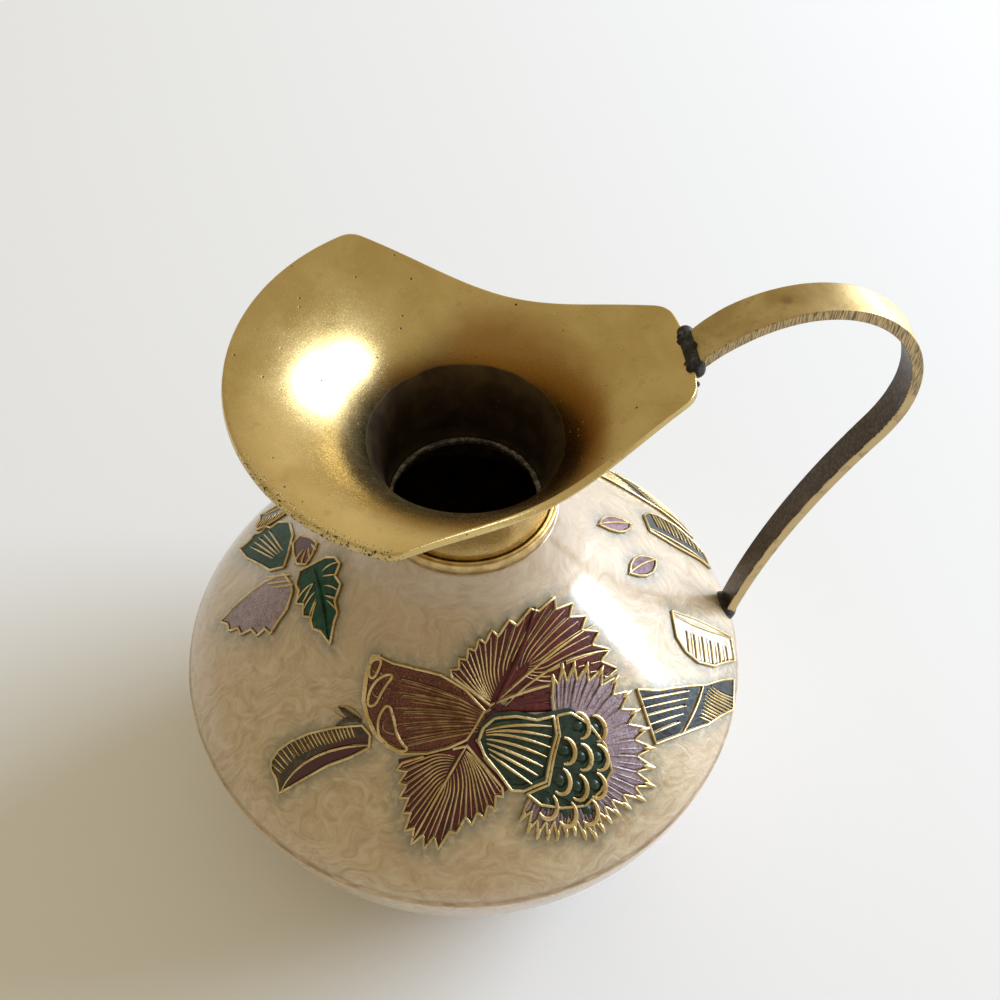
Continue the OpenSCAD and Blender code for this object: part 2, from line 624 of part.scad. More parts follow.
// Black, lumpy solder along the lip's edge, round the end of the strap
module handle_top_solder() {
    half = strap_root_w / 2;
    color("dimgray") difference() {
        translate([lip_tail_x + solder_gap, 0, rim_z - lip_wall / 2]) {
            rotate([90, 0, 0]) cylinder(r = top_solder_r, h = 2 * half, center = true);
            for (side = [-1, 1]) translate([0, side * half, 0]) sphere(r = top_solder_r);
        }
        trumpet_lip();
        handle_strap();
    }
}

// Solder that fills a hole in the enamel down to the brass and holds the strap's end
module foot_solder_ball() {
    translate([strap_land.x - strap_t / 2, 0, strap_land.y]) sphere(r = foot_solder_r);
}
module handle_foot_solder() {
    color("dimgray") difference() {
        intersection() {
            foot_solder_ball();
            translate([0, -tall / 2, crease_z + seam_h / 2]) cube([tall, tall, tall]);
        }
        rotate_extrude() upper_section(enamel_t);
        handle_strap();
    }
}

module enamel_bowl() {
    color("wheat") rotate_extrude() intersection() {
        difference() {
            bowl_section(0, foot_h);
            bowl_section(enamel_t, foot_h - over, over);
        }
        square([tall, crease_z - seam_h / 2]);
    }
}

module enamel_shoulder() {
    color("wheat") difference() {
        upper_skin(0, enamel_t);
        cylinder(r = tall, h = crease_z + seam_h / 2);
        foot_solder_ball();
        in_plan() {
            flower_outlines();
            mirror([0, 1]) flower_outlines();
            sprig_outlines();
            polygon(bud(bud_1_shares));
            polygon(bud(bud_2_shares));
        }
    }
}

// The two maroon leaves have a strong curved rib, and straight ribs to their notches
module upper_leaf_veins() {
    veins(upper_leaf_vein_shares);
    fan_ribs(crease_r * upper_leaf_base_share, upper_leaf_reach_shares, upper_leaf_ribs,
        leaf_rib_share, leaf_notch_share);
}
module upper_leaf_lines() {
    brass_line() {
        rim(upper_leaf) over_upper_leaf();
        difference() {
            upper_leaf_veins();
            over_upper_leaf();
        }
    }
}
module upper_leaf_enamel() {
    enamel_fill("maroon") difference() {
        cell(upper_leaf) over_upper_leaf();
        upper_leaf_veins();
    }
}

module lower_leaf_veins() {
    veins(lower_leaf_vein_shares);
    fan_ribs(crease_r * lower_leaf_base_share, lower_leaf_reach_shares, lower_leaf_ribs,
        leaf_rib_share, leaf_notch_share);
}
module lower_leaf_lines() {
    brass_line() {
        rim(lower_leaf) over_lower_leaf();
        difference() {
            lower_leaf_veins();
            over_lower_leaf();
        }
    }
}
module lower_leaf_enamel() {
    enamel_fill("maroon") difference() {
        cell(lower_leaf) over_lower_leaf();
        lower_leaf_veins();
    }
}

// Three little loops of brass stand at the wide end of the petal
module petal_drops(r) {
    for (place = petal_drop_shares) polygon(teardrop(crease_r * place, r, petal_drop_angle));
}
module petal_lines() {
    drop_r = crease_r * petal_drop_share;
    brass_line() {
        rim(bell_petal) polygon(thistle_cup);
        ribs(petal_rib_shares);
        difference() {
            petal_drops(drop_r);
            petal_drops(drop_r - vein_w);
        }
    }
}
module petal_enamel() {
    drop_r = crease_r * petal_drop_share;
    enamel_fill("sienna") {
        difference() {
            cell(bell_petal) polygon(thistle_cup);
            ribs(petal_rib_shares);
            petal_drops(drop_r);
        }
        petal_drops(drop_r - vein_w);
    }
}

module thistle_lines() {
    brass_line() {
        rim(thistle_cup) polygon(thistle_scales);
        difference() {
            veins(cup_vein_shares);
            polygon(thistle_scales);
        }
        difference() {
            polygon(thistle_scales);
            scale_cells();
        }
    }
}
module thistle_cup_enamel() {
    enamel_fill("darkgreen") difference() {
        cell(thistle_cup) polygon(thistle_scales);
        veins(cup_vein_shares);
    }
}
module thistle_scale_enamel() { enamel_fill("darkgreen") scale_cells(); }

// Each tooth of the lilac fan is divided from the next by a rib
module fan_petal_ribs() {
    fan_ribs(crease_r * fan_base_share, fan_reach_shares, fan_notches, fan_rib_share, fan_notch_share);
}
module fan_lines() {
    brass_line() {
        rim(fan_petals) over_fan();
        difference() {
            fan_petal_ribs();
            over_fan();
        }
    }
}
module fan_enamel() {
    enamel_fill("thistle") difference() {
        cell(fan_petals) over_fan();
        fan_petal_ribs();
    }
}

// The ribs of the side leaves stop short of the lines that divide the leaves
module ribbed_leaf_veins() {
    inside(ribbed_leaf) {
        veins(ribbed_leaf_vein_shares, 6);
        ribs(ribbed_leaf_rib_shares);
    }
}
module striped_leaf_veins() { inside(striped_leaf) veins(striped_leaf_vein_shares); }
module curled_leaf_veins() {
    inside(curled_leaf) {
        veins(curled_leaf_vein_shares);
        ribs(curled_leaf_rib_shares);
    }
}
module side_leaf_lines() {
    brass_line() {
        difference() {
            union() {
                rim(ribbed_leaf);
                ribbed_leaf_veins();
            }
            polygon(bell_petal);
        }
        difference() {
            union() {
                rim(striped_leaf);
                striped_leaf_veins();
            }
            over_striped_leaf();
        }
        rim(curled_leaf);
        curled_leaf_veins();
    }
}
module ribbed_leaf_enamel() {
    enamel_fill("olive") difference() {
        cell(ribbed_leaf) polygon(bell_petal);
        ribbed_leaf_veins();
    }
}
module striped_leaf_enamel() {
    enamel_fill("darkslategray") difference() {
        cell(striped_leaf) over_striped_leaf();
        striped_leaf_veins();
    }
}
module curled_leaf_enamel() {
    enamel_fill("lightgray") difference() {
        cell(curled_leaf);
        curled_leaf_veins();
    }
}

module sprig_lines() {
    brass_line() {
        rim(sprig_fan) polygon(sprig_flower);
        ribs(sprig_fan_rib_shares);
        inside(sprig_long) ribs(sprig_long_rib_shares);
        rim(sprig_long) polygon(sprig_flower);
        rim(sprig_lilac) {
            polygon(sprig_long);
            polygon(sprig_flower);
        }
        rim(sprig_flower);
    }
}
module sprig_fan_enamel() {
    enamel_fill("seagreen") cell(sprig_fan) {
        polygon(sprig_flower);
        ribs(sprig_fan_rib_shares);
    }
}
module sprig_long_enamel() {
    enamel_fill("seagreen") cell(sprig_long) {
        polygon(sprig_flower);
        ribs(sprig_long_rib_shares);
    }
}
module sprig_lilac_enamel() {
    enamel_fill("thistle") cell(sprig_lilac) {
        polygon(sprig_long);
        polygon(sprig_flower);
    }
}
module sprig_flower_enamel() { enamel_fill("maroon") cell(sprig_flower); }

module bud_lines() {
    brass_line() {
        rim(bud(bud_1_shares));
        rim(bud(bud_2_shares));
    }
}
module bud_enamel() {
    enamel_fill("plum") {
        cell(bud(bud_1_shares));
        cell(bud(bud_2_shares));
    }
}

// The back carries the same flower, mirrored
module on_back() { mirror([0, 1, 0]) children(); }

foot_ring();
lower_bowl();
upper_shell();
seam_solder();
neck_collar();
trumpet_lip();
neck_solder();
handle_strap();
handle_top_solder();
handle_foot_solder();
enamel_bowl();
enamel_shoulder();
upper_leaf_lines();  // front_upper_leaf_lines
upper_leaf_enamel();  // front_upper_leaf_enamel
lower_leaf_lines();  // front_lower_leaf_lines
lower_leaf_enamel();  // front_lower_leaf_enamel
petal_lines();  // front_petal_lines
petal_enamel();  // front_petal_enamel
thistle_lines();  // front_thistle_lines
thistle_cup_enamel();  // front_thistle_cup_enamel
thistle_scale_enamel();  // front_thistle_scale_enamel
fan_lines();  // front_fan_lines
fan_enamel();  // front_fan_enamel
side_leaf_lines();  // front_side_leaf_lines
ribbed_leaf_enamel();  // front_ribbed_leaf_enamel
striped_leaf_enamel();  // front_striped_leaf_enamel
curled_leaf_enamel();  // front_curled_leaf_enamel
on_back() upper_leaf_lines();  // back_upper_leaf_lines
on_back() upper_leaf_enamel();  // back_upper_leaf_enamel
on_back() lower_leaf_lines();  // back_lower_leaf_lines
on_back() lower_leaf_enamel();  // back_lower_leaf_enamel
on_back() petal_lines();  // back_petal_lines
on_back() petal_enamel();  // back_petal_enamel
on_back() thistle_lines();  // back_thistle_lines
on_back() thistle_cup_enamel();  // back_thistle_cup_enamel
on_back() thistle_scale_enamel();  // back_thistle_scale_enamel
on_back() fan_lines();  // back_fan_lines
on_back() fan_enamel();  // back_fan_enamel
on_back() side_leaf_lines();  // back_side_leaf_lines
on_back() ribbed_leaf_enamel();  // back_ribbed_leaf_enamel
on_back() striped_leaf_enamel();  // back_striped_leaf_enamel
on_back() curled_leaf_enamel();  // back_curled_leaf_enamel
sprig_lines();
sprig_fan_enamel();
sprig_long_enamel();
sprig_lilac_enamel();
sprig_flower_enamel();
bud_lines();
bud_enamel();
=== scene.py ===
import math
import random

import bmesh
import bpy
from mathutils import Matrix, Vector, noise
from mathutils.kdtree import KDTree


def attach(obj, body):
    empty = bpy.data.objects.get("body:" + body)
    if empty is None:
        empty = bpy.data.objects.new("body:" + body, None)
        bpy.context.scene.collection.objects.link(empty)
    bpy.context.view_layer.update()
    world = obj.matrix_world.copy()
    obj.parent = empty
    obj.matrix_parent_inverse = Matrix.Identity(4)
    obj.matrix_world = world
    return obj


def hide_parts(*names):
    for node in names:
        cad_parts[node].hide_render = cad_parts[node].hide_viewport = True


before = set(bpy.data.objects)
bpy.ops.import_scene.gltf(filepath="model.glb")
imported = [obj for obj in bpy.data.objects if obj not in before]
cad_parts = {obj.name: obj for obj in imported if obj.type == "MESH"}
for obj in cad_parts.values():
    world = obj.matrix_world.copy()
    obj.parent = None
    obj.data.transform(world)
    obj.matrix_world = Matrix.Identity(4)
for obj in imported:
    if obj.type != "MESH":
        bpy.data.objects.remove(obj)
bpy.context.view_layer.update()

MM = 0.001


# Lower bowl and foot ring: a spun brass half shell on a soldered ring. The bowl's outside is
# covered with cream enamel, fired on and ground smooth; the brass shows only at the foot.

class Shade:
    """A socket of the material being written; arithmetic on it adds Math nodes."""
    tree = None

    def __init__(self, socket):
        self.socket = socket

    @staticmethod
    def node(kind, settings, sockets, out=0):
        made = Shade.tree.nodes.new("ShaderNode" + kind)
        for name, value in settings.items():
            if name == "stops":
                ramp = made.color_ramp
                while len(ramp.elements) < len(value):
                    ramp.elements.new(0.5)
                for element, (stop, colour) in zip(ramp.elements, value):
                    element.position = stop
                    element.color = colour if len(colour) == 4 else (*colour, 1)
            else:
                setattr(made, name, value)
        for name, value in sockets.items():
            if isinstance(value, Shade):
                Shade.tree.links.new(value.socket, made.inputs[name])
            else:
                made.inputs[name].default_value = value
        return Shade(made.outputs[out])

    def math(self, how, *others, clamp=False):
        return Shade.node("Math", {"operation": how, "use_clamp": clamp},
                          dict(enumerate((self,) + others)))

    def __add__(self, other):
        return self.math("ADD", other)

    def __sub__(self, other):
        return self.math("SUBTRACT", other)

    def __mul__(self, other):
        return self.math("MULTIPLY", other)

    def __rsub__(self, other):
        return Shade.node("Math", {"operation": "SUBTRACT"}, {0: other, 1: self})

    __radd__ = __add__
    __rmul__ = __mul__

    def rise(self, low, high):
        """Goes smoothly from 0 at low to 1 at high."""
        return Shade.node("MapRange", {"interpolation_type": "SMOOTHSTEP"},
                          {"Value": self, "From Min": low, "From Max": high})

    def ramp(self, *stops):
        return Shade.node("ValToRGB", {"stops": stops}, {"Fac": self})


def place():
    """Object coordinates, in millimetres."""
    at = Shade.node("TexCoord", {}, {}, out=3)
    return Shade.node("VectorMath", {"operation": "MULTIPLY"}, {0: at, 1: (1000, 1000, 1000)})


def place_on(axis):
    """How far along X, Y or Z (0, 1 or 2) a point lies, in millimetres."""
    return Shade.node("SeparateXYZ", {}, {0: place()}, out=axis)


def stretched(at, turn, scale):
    """Coordinates turned and scaled, which draws a noise out into streaks or scratches."""
    return Shade.node("Mapping", {}, {"Vector": at, "Rotation": turn, "Scale": scale})


def grain(size, at=None, detail=3.0, rough=0.5, warp=0.0):
    """Noise whose lumps are about `size` millimetres across."""
    return Shade.node("TexNoise", {}, {"Vector": at or place(), "Scale": 1 / size, "Detail": detail,
                                       "Roughness": rough, "Distortion": warp})


def mix(share, first, second):
    """Goes from the first colour to the second as share goes from 0 to 1."""
    def colour(value):
        return value if isinstance(value, Shade) or len(value) == 4 else (*value, 1)
    return Shade.node("Mix", {"data_type": "RGBA"},
                      {0: share, 6: colour(first), 7: colour(second)}, out=2)


def bump(height, depth):
    """Bumps `depth` millimetres deep where height goes from 0 to 1."""
    return Shade.node("Bump", {}, {"Height": height, "Strength": 1.0, "Distance": depth * MM})


def finish(name, write):
    """A material whose nodes are written by `write`, which returns the shader's settings."""
    material = bpy.data.materials.new(name)
    material.use_nodes = True
    Shade.tree = material.node_tree
    shader = material.node_tree.nodes["Principled BSDF"]
    for socket, value in write().items():
        if isinstance(value, Shade):
            Shade.tree.links.new(value.socket, shader.inputs[socket])
        elif isinstance(value, tuple) and len(value) == 3:
            shader.inputs[socket].default_value = (*value, 1)
        else:
            shader.inputs[socket].default_value = value
    return material


def dress(node, material):
    """Gives a CAD node its material."""
    shape = bpy.data.objects[node].data
    shape.materials.clear()
    shape.materials.append(material)


def aged_brass():
    cloud = grain(9, detail=5, rough=0.6, warp=0.8)
    speck = grain(0.7, detail=2)
    tone = mix(cloud.rise(0.35, 0.7), (0.13, 0.085, 0.04), (0.33, 0.23, 0.10))
    return {"Base Color": mix(speck.rise(0.55, 0.75) * 0.5, tone, (0.05, 0.035, 0.02)),
            "Metallic": 0.85, "Roughness": 0.34 + cloud * 0.3, "Normal": bump(speck, 0.05)}


dark_brass = finish("aged_brass", aged_brass)
for node in ("foot_ring", "lower_bowl", "upper_shell"):
    dress(node, dark_brass)


def pearl(tarnish=None):
    """Cream enamel with pearly swirls: warped noise, drawn out into fine streaks."""
    at = place()
    drift = Shade.node("TexNoise", {}, {"Vector": at, "Scale": 1 / 14, "Detail": 2.0}, out=1)
    flow = Shade.node("VectorMath", {"operation": "SCALE"}, {0: drift, "Scale": 26.0})
    swirled = Shade.node("VectorMath", {"operation": "ADD"}, {0: at, 1: flow})
    drawn = stretched(swirled, (0.3, 0.2, 0.7), (0.3, 1.4, 0.8))
    streak = grain(2.6, drawn, detail=7, rough=0.68, warp=0.5)
    broad = grain(16, swirled, detail=3, warp=0.6)
    fine = grain(0.8, drawn, detail=4, rough=0.6, warp=0.7)
    tone = streak.ramp((0.3, (0.37, 0.25, 0.12)), (0.43, (0.48, 0.34, 0.18)), (0.52, (0.55, 0.42, 0.245)),
                       (0.62, (0.61, 0.49, 0.31)), (0.78, (0.69, 0.59, 0.42)))
    tone = mix(broad.rise(0.45, 0.75) * 0.5, tone, (0.59, 0.42, 0.28))
    tone = mix(fine.rise(0.56, 0.74) * 0.35, tone, (0.30, 0.22, 0.14))
    tone = mix(place_on(2).rise(58, 92) * 0.45, tone, (0.38, 0.27, 0.18))
    if tarnish:
        worn = Shade.node("Attribute", {"attribute_name": tarnish}, {}, out=2)
        worn = worn * grain(1.8, detail=5, rough=0.65).rise(0.3, 0.55)
        tone = mix(worn * 0.9, tone, (0.17, 0.17, 0.125))
    return {"Base Color": tone, "Metallic": 0.16, "Roughness": 0.32 + fine * 0.22, "Coat Weight": 1.0,
            "Coat IOR": 1.72, "Coat Roughness": 0.18,
            "Normal": bump(streak * 0.5 + grain(7, detail=2) * 0.5, 0.3)}


def settle(name, shape, smooth=True):
    """Makes a finished bmesh an object that rides on the pitcher."""
    mesh = bpy.data.meshes.new(name)
    for face in shape.faces:
        face.smooth = smooth
    shape.to_mesh(mesh)
    shape.free()
    piece = bpy.data.objects.new(name, mesh)
    bpy.context.scene.collection.objects.link(piece)
    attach(piece, "root")
    return piece


def spin_round(shape, line, turns):
    """Spins a line's points and edges once round the pitcher's axis."""
    bmesh.ops.spin(shape, geom=line, cent=(0, 0, 0), axis=(0, 0, 1), angle=2 * math.pi,
                   steps=turns, use_merge=True, use_duplicate=False)


def spun(name, outline, turns=240):
    """A closed outline of (radius, height) pairs, in metres, spun about the pitcher's axis."""
    shape = bmesh.new()
    points = [shape.verts.new((r, 0, z)) for r, z in outline]
    edges = [shape.edges.new((points[i], points[i - 1])) for i in range(len(points))]
    spin_round(shape, points + edges, turns)
    bmesh.ops.remove_doubles(shape, verts=shape.verts, dist=1e-6)
    bmesh.ops.recalc_face_normals(shape, faces=shape.faces)
    return settle(name, shape)


def arc(centre, radius, start, end, count):
    """Points (radius, height) along an arc; angles in degrees from the outward level."""
    return [(centre[0] + radius * math.cos(math.radians(start + (end - start) * i / count)),
             centre[1] + radius * math.sin(math.radians(start + (end - start) * i / count)))
            for i in range(count + 1)]


crease_r = 62 * MM
crease_z = 42 * MM
seam_half = 0.5 * MM
enamel_t = 0.6 * MM
bowl_rise = 3.5 * MM
foot_h = 3 * MM
floor_r = 36 * MM
bowl_high = crease_z + bowl_rise - foot_h
bowl_c = ((crease_r ** 2 - floor_r ** 2 - bowl_high ** 2 + bowl_rise ** 2) / (2 * (crease_r - floor_r)),
          crease_z + bowl_rise)
bowl_arc = math.hypot(crease_r - bowl_c[0], bowl_rise)


def bowl_skin(depth):
    """The profile from the foot up to just under the seam, a depth below the surface."""
    top = math.degrees(math.asin((crease_z - seam_half - bowl_c[1]) / (bowl_arc - depth)))
    foot = math.degrees(math.asin((foot_h - bowl_c[1]) / (bowl_arc - depth)))
    return arc(bowl_c, bowl_arc - depth, foot, top, 40)


bowl_enamel = spun("bowl_enamel", bowl_skin(0) + bowl_skin(enamel_t)[::-1])
bowl_enamel.data.materials.append(finish("bowl_pearl_enamel", pearl))
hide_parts("enamel_bowl")


# Seam: the two brass halves are brazed together at the crease, and the joint is dressed flush
# with the enamel, so that it shows as a soft golden-brown line.

def brazed():
    cloud = grain(5, detail=4)
    return {"Base Color": mix(cloud.rise(0.35, 0.65), (0.36, 0.24, 0.13), (0.62, 0.46, 0.28)),
            "Metallic": 0.6, "Roughness": 0.35 + cloud * 0.2, "Normal": bump(cloud, 0.1)}


dress("seam_solder", finish("brazed_seam", brazed))


# Shoulder and neck: the upper brass half carries cream enamel with pearly swirls. Round the raised
# motifs the ground is stained grey-green, where polish and tarnish stayed in the corners.

shoulder_arc = 36 * MM
neck_arc = 25 * MM
neck_r = 18.5 * MM
crease_slope = math.radians(63)
shoulder_tilt = 45
shoulder_slope = math.radians(shoulder_tilt)
neck_slope = math.radians(83.5)
slope_n = Vector((math.sin(shoulder_slope), math.cos(shoulder_slope)))
shoulder_c = Vector((crease_r - shoulder_arc * math.sin(crease_slope),
                     crease_z - shoulder_arc * math.cos(crease_slope)))
run_start = shoulder_c + shoulder_arc * slope_n
run_end_r = neck_r + neck_arc * (math.sin(neck_slope) - slope_n.x)
run_end = Vector((run_end_r, run_start.y + (run_start.x - run_end_r) * math.tan(shoulder_slope)))
neck_c = run_end + neck_arc * slope_n
neck_z = neck_c.y - neck_arc * math.cos(neck_slope)


def on_body(x, y, rise=0.0):
    """The point above (x, y) in plan that stands `rise` over the shoulder's enamel."""
    r = math.hypot(x, y)
    if r > run_start.x:
        z = shoulder_c.y + math.sqrt(max(shoulder_arc ** 2 - (r - shoulder_c.x) ** 2, 0))
        out = (Vector((r, z)) - shoulder_c).normalized()
    elif r > run_end.x:
        z = run_start.y + (run_start.x - r)
        out = slope_n
    else:
        z = neck_c.y - math.sqrt(max(neck_arc ** 2 - (neck_c.x - r) ** 2, 0))
        out = (neck_c - Vector((r, z))).normalized()
    away = out.x * rise / r if r else 0
    return Vector((x * (1 + away), y * (1 + away), z + out.y * rise))


def shoulder_skin(depth):
    """The profile from just over the seam up to the neck's top, a depth below the surface."""
    start = run_start - slope_n * depth
    low = math.degrees(math.asin((crease_z + seam_half - shoulder_c.y) / (shoulder_arc - depth)))
    high = 180 + math.degrees(math.asin((neck_c.y - neck_z) / (neck_arc + depth)))
    line = [tuple(start.lerp(run_end - slope_n * depth, i / 40)) for i in range(1, 40)]
    neck = arc(neck_c, neck_arc + depth, 180 + shoulder_tilt, high, 22)
    return arc(shoulder_c, shoulder_arc - depth, low, shoulder_tilt, 12) + line + neck


shoulder_enamel = spun("shoulder_enamel", shoulder_skin(0) + shoulder_skin(enamel_t)[::-1], turns=360)
shoulder_enamel.data.materials.append(finish("shoulder_pearl_enamel", lambda: pearl("tarnish")))
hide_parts("enamel_shoulder")


# Neck collar: a turned brass ring with two thin beads, which covers the joint of neck and lip.
# Solder that ran through the joint stands inside as a pale ragged edge.

throat_r = 15.3 * MM
lip_wall = 1.6 * MM
collar_r = 18.4 * MM
collar_h = 2.3 * MM
bead_r = 0.3 * MM


def collar_outline():
    inner = throat_r + lip_wall + 0.2 * MM
    top = neck_z + collar_h
    beads = arc((collar_r - bead_r, top), bead_r, 0, 180, 8) + arc((inner + bead_r, top), bead_r, 0, 180, 8)
    return [(inner, neck_z), (collar_r, neck_z), (collar_r, neck_z + collar_h / 2)] + beads


def collar_brass():
    ring = grain(2.5, detail=4)
    return {"Base Color": mix(ring.rise(0.4, 0.7), (0.55, 0.40, 0.18), (0.82, 0.64, 0.32)),
            "Metallic": 0.9, "Roughness": 0.28 + ring * 0.2, "Normal": bump(ring, 0.05)}


collar = spun("neck_collar_ring", collar_outline())
collar.data.materials.append(finish("collar_brass", collar_brass))
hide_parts("neck_collar")


def pale_solder():
    lump = grain(1.2, detail=5, rough=0.7)
    return {"Base Color": mix(lump.rise(0.4, 0.65), (0.16, 0.13, 0.10), (0.55, 0.50, 0.42)),
            "Metallic": 0.7, "Roughness": 0.5, "Normal": bump(lump, 0.3)}


dress("neck_solder", finish("pale_solder", pale_solder))


# Trumpet lip: a spun and polished brass funnel, cut off straight at both sides so that a wide
# rounded spout is left in front and a tongue at the back, where the strap is soldered on.

throat_h = 5.2 * MM
throat_arc = 30 * MM
flare_arc = 36 * MM
flare_slope = math.radians(62)
lip_r = 41.8 * MM
lip_shift = 1 * MM
lip_trim = 27.3 * MM
spout_corner = 4.5 * MM
tail_corner = 5 * MM
trim_angle = math.radians(26)
flare_n = Vector((math.sin(flare_slope), -math.cos(flare_slope)))
throat_c = Vector((throat_r + throat_arc, neck_z + throat_h))
flare_start = throat_c - flare_n * throat_arc
flare_c = flare_start + flare_n * flare_arc


def lip_reach(angle):
    """How far the trimmed lip reaches from the axis at an angle in plan, corners rounded."""
    way = Vector((math.cos(angle), abs(math.sin(angle))))
    disc_c = Vector((-lip_shift, 0))
    cut_n = Vector((math.sin(trim_angle), math.cos(trim_angle)))
    cut_t = Vector((math.cos(trim_angle), -math.sin(trim_angle)))

    def round_reach(centre, radius):
        along = way.dot(centre)
        return along + math.sqrt(max(radius ** 2 - (centre.length_squared - along ** 2), 0))

    reach = round_reach(disc_c, lip_r)
    if way.dot(cut_n) > 0:
        reach = min(reach, lip_trim / way.dot(cut_n))
    for fillet, side in ((spout_corner, -1), (tail_corner, 1)):
        depth = lip_trim - fillet - cut_n.dot(disc_c)
        centre = disc_c + cut_n * depth + cut_t * side * math.sqrt((lip_r - fillet) ** 2 - depth ** 2)
        from_cut = centre + cut_n * fillet
        from_disc = disc_c + (centre - disc_c).normalized() * lip_r
        spread = sorted((math.atan2(from_cut.y, from_cut.x), math.atan2(from_disc.y, from_disc.x)))
        if spread[0] < math.atan2(way.y, way.x) < spread[1]:
            reach = round_reach(centre, fillet)
    return reach


def trumpet(share, reach):
    """The point (radius, height) of the inner face at a share of the way from throat to rim."""
    rim_turn = math.acos((flare_c.x - reach) / flare_arc)
    turns = (throat_h, throat_arc * (math.pi / 2 - flare_slope),
             flare_arc * (rim_turn - math.pi / 2 + flare_slope))
    along = share * sum(turns)
    if along < turns[0]:
        return throat_r, neck_z + along
    if along < turns[0] + turns[1]:
        a = (along - turns[0]) / throat_arc
        return throat_c.x - throat_arc * math.cos(a), throat_c.y + throat_arc * math.sin(a)
    a = math.pi / 2 - flare_slope + (along - turns[0] - turns[1]) / flare_arc
    return flare_c.x - flare_arc * math.cos(a), flare_c.y + flare_arc * math.sin(a)


def make_lip():
    """A spun strip, whose points are then moved to the trimmed funnel, and given its wall."""
    rings = 64
    shape = bmesh.new()
    line = [shape.verts.new((1 + i / rings, 0, 0)) for i in range(rings + 1)]
    edges = [shape.edges.new((line[i], line[i + 1])) for i in range(rings)]
    spin_round(shape, line + edges, turns=480)
    for vert in shape.verts:
        angle = math.atan2(vert.co.y, vert.co.x)
        r, z = trumpet(min(max(vert.co.xy.length - 1, 0), 1), lip_reach(angle))
        vert.co = (r * math.cos(angle), r * math.sin(angle), z)
    bmesh.ops.recalc_face_normals(shape, faces=shape.faces)
    if sum(face.normal.z for face in shape.faces) < 0:
        bmesh.ops.reverse_faces(shape, faces=shape.faces)
    return settle("lip_funnel", shape)


def in_plan():
    """Object coordinates with their height taken out."""
    return Shade.node("VectorMath", {"operation": "MULTIPLY"}, {0: place(), 1: (1, 1, 0)})


def distance(at, spot):
    """How far a point lies from a spot, both in millimetres."""
    return Shade.node("VectorMath", {"operation": "DISTANCE"}, {0: at, 1: spot}, out=1)


def lip_brass():
    """Polished brass with a worn haze, dark pits, and rust specks along the near side's rim."""
    at = place()
    cloud = grain(13, detail=4, rough=0.55, warp=0.5)
    haze = grain(2.6, detail=5, rough=0.65)
    dust = grain(0.22, detail=2)
    scratch = grain(1.0, stretched(at, (0.2, 0.1, 0.6), (0.25, 5.0, 2.0)), detail=5, rough=0.7)
    pit = Shade.node("TexVoronoi", {}, {"Vector": at, "Scale": 0.42, "Randomness": 1.0})
    pits = (1 - pit.rise(0.06, 0.13)) * grain(6, detail=1).rise(0.5, 0.56)
    tone = mix(cloud.rise(0.3, 0.7), (0.56, 0.41, 0.16), (0.68, 0.52, 0.23))
    tone = mix(haze.rise(0.55, 0.75) * 0.35, tone, (0.36, 0.27, 0.12))
    by_rim = (distance(in_plan(), (-lip_shift / MM, 0, 0)) + grain(2) * 1.5).rise(40.8, 41.9)
    near_side = (0 - place_on(1)).rise(8, 20)
    rust = grain(0.45, detail=3).rise(0.56, 0.64) * by_rim * near_side
    pits = pits.math("MAXIMUM", rust)
    tone = mix(pits, tone, (0.035, 0.025, 0.015))
    rough = 0.19 + haze * 0.14 + dust.rise(0.55, 0.7) * 0.12 + pits * 0.4
    return {"Base Color": tone, "Metallic": 1 - pits * 0.5, "Roughness": rough,
            "Normal": bump(scratch * 0.5 + haze * 0.5 - pits, 0.035)}


# The height, in millimetres, up to which the throat's inside is painted dark, as painted shade
throat_shade_top = 114.6


def lip_inside():
    """Inside, the brass carries a brown painted reflection of the dark throat round it, and the throat
    itself is painted dark, as painted shade.
    """
    settings = lip_brass()
    to_handle = place_on(0)
    far = distance(in_plan(), (0, 0, 0))
    cloud = grain(5, detail=4)
    # Painted reflection: a brown ring round the throat paints the dark throat mirrored in the brass,
    # narrower on the spout's side
    painted_reflection_tone = mix(to_handle.rise(-14, 6), (0.24, 0.23, 0.13), (0.36, 0.19, 0.055))
    reflection_narrowing = (1 - to_handle.rise(-12, 8)) * 6
    tone = mix((1 - (far + cloud * 3 + reflection_narrowing).rise(23, 29.5)) * 0.9, settings["Base Color"], painted_reflection_tone)
    # Painted shade: the throat's inside is painted dark up to the height set above, and made less metallic
    # and rougher
    throat_shade = 1 - (place_on(2) + cloud * 0.7).rise(throat_shade_top, throat_shade_top + 0.6)
    throat_shade_tone = mix(cloud.rise(0.3, 0.7), (0.05, 0.033, 0.018), (0.11, 0.072, 0.035))
    settings["Base Color"] = mix(throat_shade, tone, throat_shade_tone)
    settings["Metallic"] = settings["Metallic"] - throat_shade * 0.35
    settings["Roughness"] = settings["Roughness"] + throat_shade * 0.2
    return settings


def soften(piece, width, limit, keep_sharp=False):
    """Rounds a piece's sharp edges, and keeps the shading of its broad faces even."""
    edge = piece.modifiers.new("edge", "BEVEL")
    edge.width = width
    edge.segments = 3
    edge.limit_method = "ANGLE"
    edge.angle_limit = math.radians(limit)
    piece.modifiers.new("weigh", "WEIGHTED_NORMAL").keep_sharp = keep_sharp


lip = make_lip()
lip.data.materials.append(finish("lip_inside", lip_inside))
lip.data.materials.append(finish("lip_brass", lip_brass))
wall = lip.modifiers.new("wall", "SOLIDIFY")
wall.material_offset = 1
wall.material_offset_rim = 1
wall.thickness = lip_wall
wall.offset = -1
wall.use_even_offset = True
soften(lip, width=0.35 * MM, limit=50, keep_sharp=True)
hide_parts("trumpet_lip")


